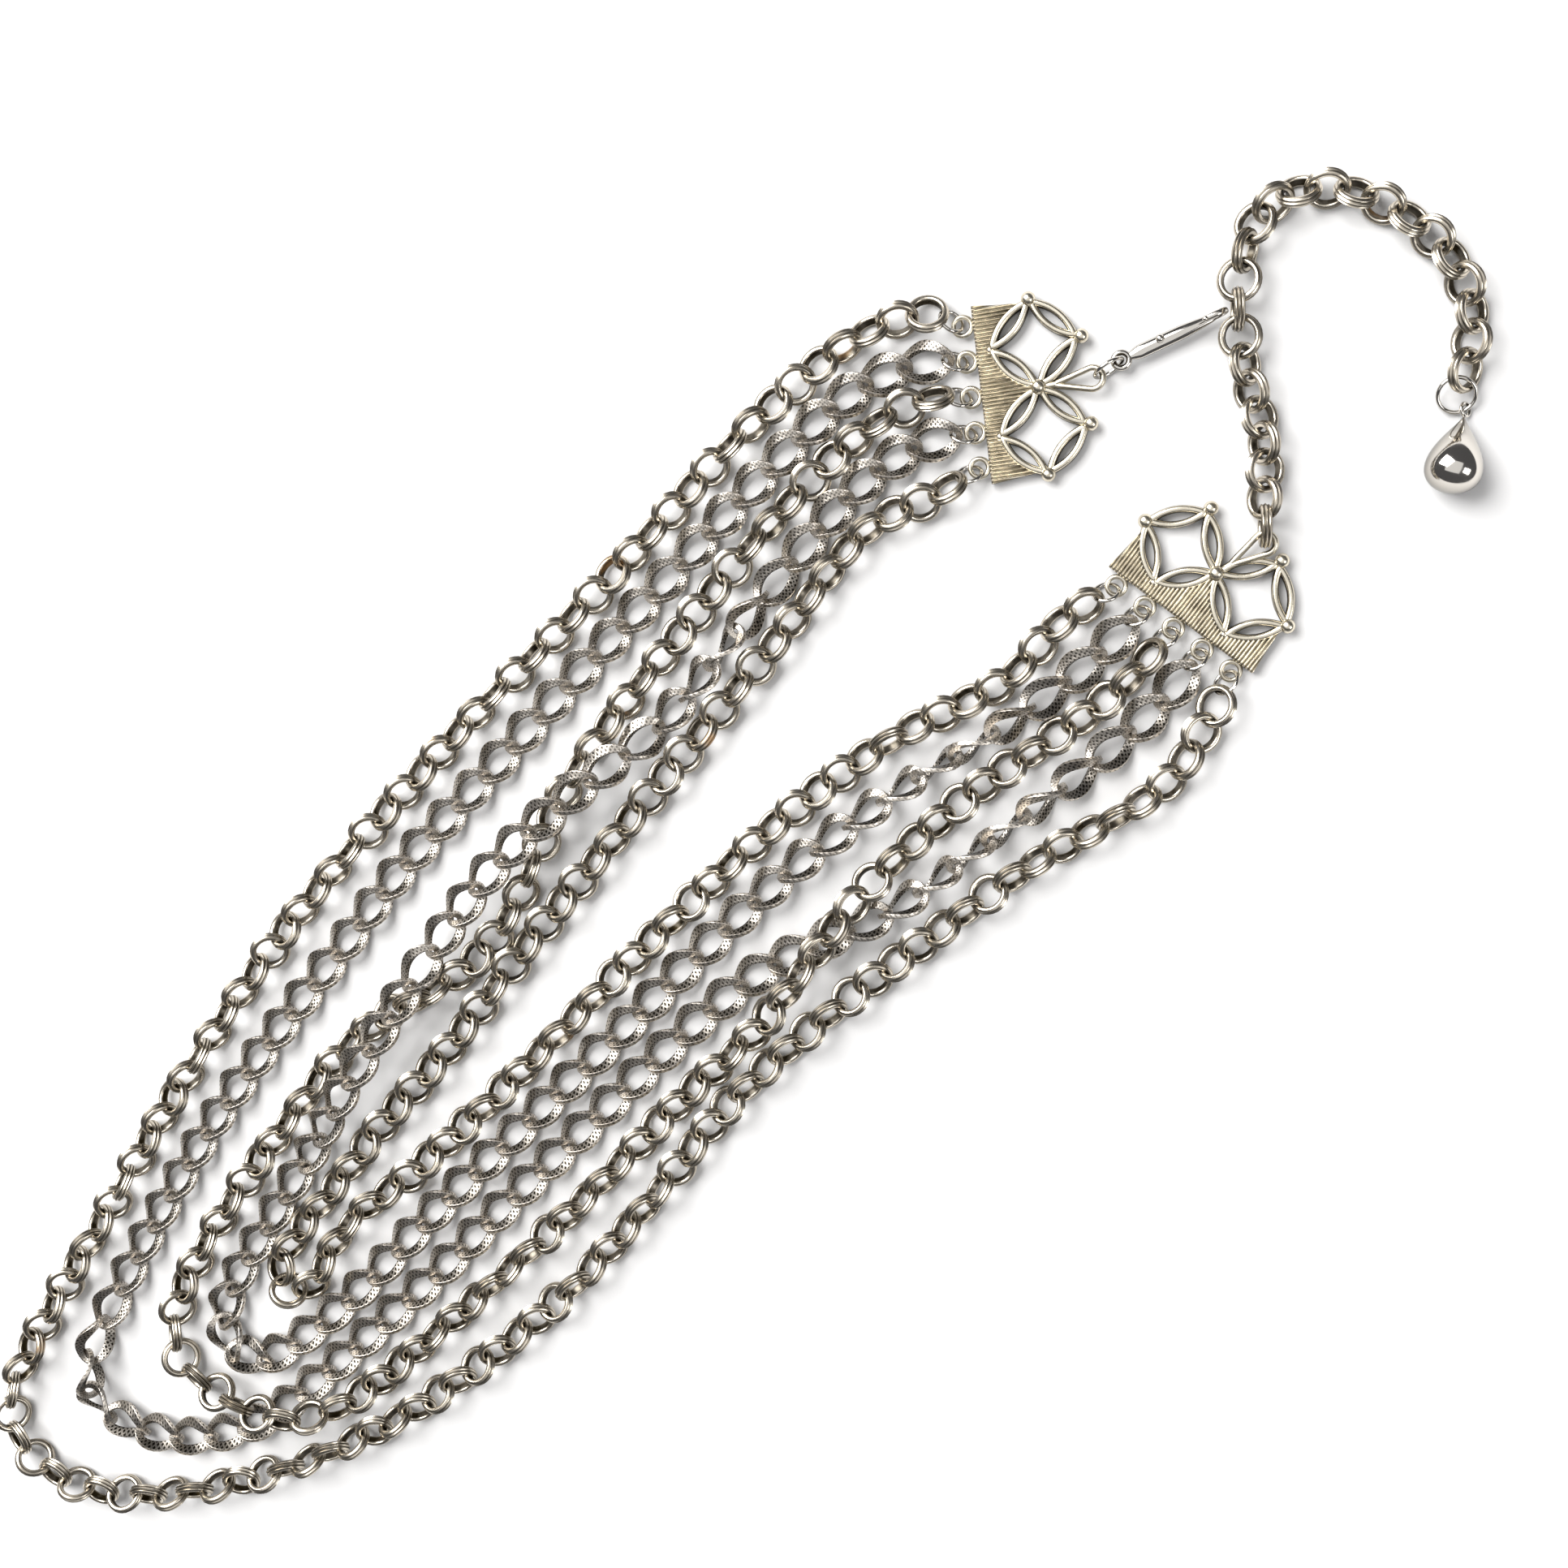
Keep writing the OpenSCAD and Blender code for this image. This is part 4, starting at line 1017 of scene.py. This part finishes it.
def hook_line():
    """Points along the hook and up from its bar, and the wire's half width at each."""
    x = np.linspace(EYE_RADIUS, HOOK_LENGTH, 16)
    b = np.linspace(-math.pi / 2, math.pi / 2, 13)[1:]
    line = np.concatenate([
        np.stack([x, 0 * x], 1),
        np.stack([HOOK_LENGTH + BEND_RADIUS * np.cos(b), BEND_RADIUS + BEND_RADIUS * np.sin(b)], 1),
        [(HOOK_LENGTH - back, 2 * BEND_RADIUS) for back, half in HOOK_TIP]])
    share = np.clip(np.minimum((x - EYE_RADIUS) / 1.5, (HOOK_LENGTH - x) / 5), 0, 1)
    bar = HOOK_THIN + HOOK_HAMMERED * share ** 0.7
    tip = [half for back, half in HOOK_TIP]
    return line, np.concatenate([bar, np.full(len(b), HOOK_THIN), tip])


def hook_piece():
    """The hook: its eye, the bar with the bend, the tongue and the rounded tip."""
    out = LOOP_BOW + HOOK_RING_RADIUS / 2 + RING_TO_EYE + EYE_RADIUS
    start = np.array([*(loop_end(LEFT_PLATE, 0) + out * toward(RING_WAY)), HOOK_Z])
    way = np.array([*toward(HOOK_ANGLE), 0])
    across = np.array([*toward(HOOK_ANGLE + 90), 0])
    line, wide = hook_line()
    path = start + line[:, :1] * way + line[:, 1:] * np.array([0, 0, 1])
    along, aside, high = TONGUE_PLACE
    tongue = start + along * way + aside * across + np.array([0, 0, high])
    shells = [swept(circle_path(start, (0, 0, 1), EYE_RADIUS), HOOK_WIRE / 2),
              swept(path, wide, across, ROUND * [HOOK_FLATTENED, 1.0], closed=False),
              ball(tongue, TONGUE_RADIUS), ball(path[-1], HOOK_THIN)]
    make_piece("hook_wire", shells, bright_silver, "hook")


hook_piece()

# %% [markdown]
# ## The drop
#
# The drop is a smooth cast pear that hangs on its ring by a small loop. It could be a ball
# pulled into shape by hand. It is alike all round, so its outline can be a formula: it starts as
# a point and is fullest at three quarters of its length. Lying on the table, it rests on its full
# end, and its point is lifted to the ring.

# %% Drop
DROP_LENGTH = 11.2
DROP_RADIUS = 3.8
DROP_ANGLE = -54
DROP_LIFT = math.radians(20.6)
DROP_RING_Z = 1.68
DROP_RING_ANGLE = -45
DROP_RING_SLOPE = math.radians(-24)
DROP_HANG = math.radians(35)
BAIL_RADIUS = 0.85
BAIL_THICK = 0.27
BAIL_TURN = math.radians(50)


def hanging_point():
    """The point of the drop ring that the drop's loop hangs on."""
    slope, ring_way = DROP_RING_SLOPE, toward(DROP_RING_ANGLE)
    lowest = np.array([*(math.cos(slope) * ring_way), math.sin(slope)])
    level = np.array([*toward(DROP_RING_ANGLE + 90), 0])
    round_ring = math.cos(DROP_HANG) * lowest + math.sin(DROP_HANG) * level
    return np.array([*DROP_RING_PLACE, DROP_RING_Z]) + DROP_RING_RADIUS * round_ring


def drop_piece():
    """The pear drop and the small loop by which it hangs on its ring."""
    hang = hanging_point()
    axis = np.array([*(math.cos(DROP_LIFT) * toward(DROP_ANGLE)), math.sin(DROP_LIFT)])
    across = np.array([*toward(DROP_ANGLE + 90), 0])
    bail_normal = math.cos(BAIL_TURN) * across + math.sin(BAIL_TURN) * np.cross(axis, across)
    a = np.linspace(0.08, math.pi - 0.03, 40)
    outline = np.sin(a) * np.sin(a / 2) ** 1.5
    along = BAIL_RADIUS + DROP_LENGTH * (1 - np.cos(a)) / 2
    shells = [swept(hang + np.outer(along, axis), DROP_RADIUS * outline / outline.max(), across,
                    circle_section(56), closed=False),
              swept(circle_path(hang, bail_normal, BAIL_RADIUS), BAIL_THICK)]
    make_piece("pear_drop", shells, bright_silver, "drop")


drop_piece()

# %% [markdown]
# ## The loose rings
#
# The joining rings, the hook's ring and the drop's ring are bent from plain round wire. They
# could be made again here, but that is exactly what the solids already are, so they stay as they
# are and only get their finish.

# %% Finish of the rings
for node in ("hook_ring", "joiners_left", "joiners_right", "drop_ring"):
    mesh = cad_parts[node].data
    mesh.materials.clear()
    mesh.materials.append(bright_silver)
    print(node, "is", bright_silver.name)

# %% [markdown]
# ## The table
#
# The necklace lies on a plain matte white board, lit until it is bare white. A curved backdrop
# could hide where a board ends, but the camera looks down, so one large square is enough.

# %% Table
TABLE_HALF_MM = 900


def matte_table():
    """A large plain table top that isn't part of the necklace."""
    half = TABLE_HALF_MM * MM
    corners = [(-half, -half, 0), (half, -half, 0), (half, half, 0), (-half, half, 0)]
    mesh = bpy.data.meshes.new("table")
    mesh.from_pydata(corners, [], [(0, 1, 2, 3)])
    material = bpy.data.materials.new("matte_white_board")
    material.use_nodes = True
    shader = material.node_tree.nodes["Principled BSDF"]
    shader.inputs["Base Color"].default_value = linear("#F4F3F2")
    shader.inputs["Roughness"].default_value = 0.9
    mesh.materials.append(material)
    table = bpy.data.objects.new("table", mesh)
    bpy.context.scene.collection.objects.link(table)


matte_table()
print("the table is", 2 * TABLE_HALF_MM, "mm wide")

# %% [markdown]
# ## The lights
#
# A wide soft light stands to the left, so that soft grey shadows fall on the other side. A weaker
# one hangs above, and another stands opposite. A picture of a room could light the scene, but
# large plain lights are easier to place where the metal should catch them. The room stays dark,
# because metal looks bright only next to something dark. The standard view keeps the hard
# contrast of a product photograph.


# %% Lights
def soft_light(name, place_mm, size_mm, watts):
    """A square soft light that faces the middle of the necklace."""
    data = bpy.data.lights.new(name, "AREA")
    data.size = size_mm * MM
    data.energy = watts
    light = bpy.data.objects.new(name, data)
    light.location = Vector(place_mm) * MM
    light.rotation_mode = "QUATERNION"
    light.rotation_quaternion = (light.location - VIEW_TARGET).to_track_quat("Z", "Y")
    bpy.context.scene.collection.objects.link(light)
    print(name, "light,", watts, "W")


soft_light("window_side", (-760, -40, 800), 900, 20.0)
soft_light("ceiling", (-10, 20, 520), 640, 0.9)
soft_light("room_side", (420, 260, 380), 260, 0.8)

world = bpy.data.worlds.new("room")
world.use_nodes = True
world.node_tree.nodes["Background"].inputs["Color"].default_value = linear("#5A5A5C")
world.node_tree.nodes["Background"].inputs["Strength"].default_value = 0.8
bpy.context.scene.world = world
bpy.context.scene.view_settings.view_transform = "Standard"
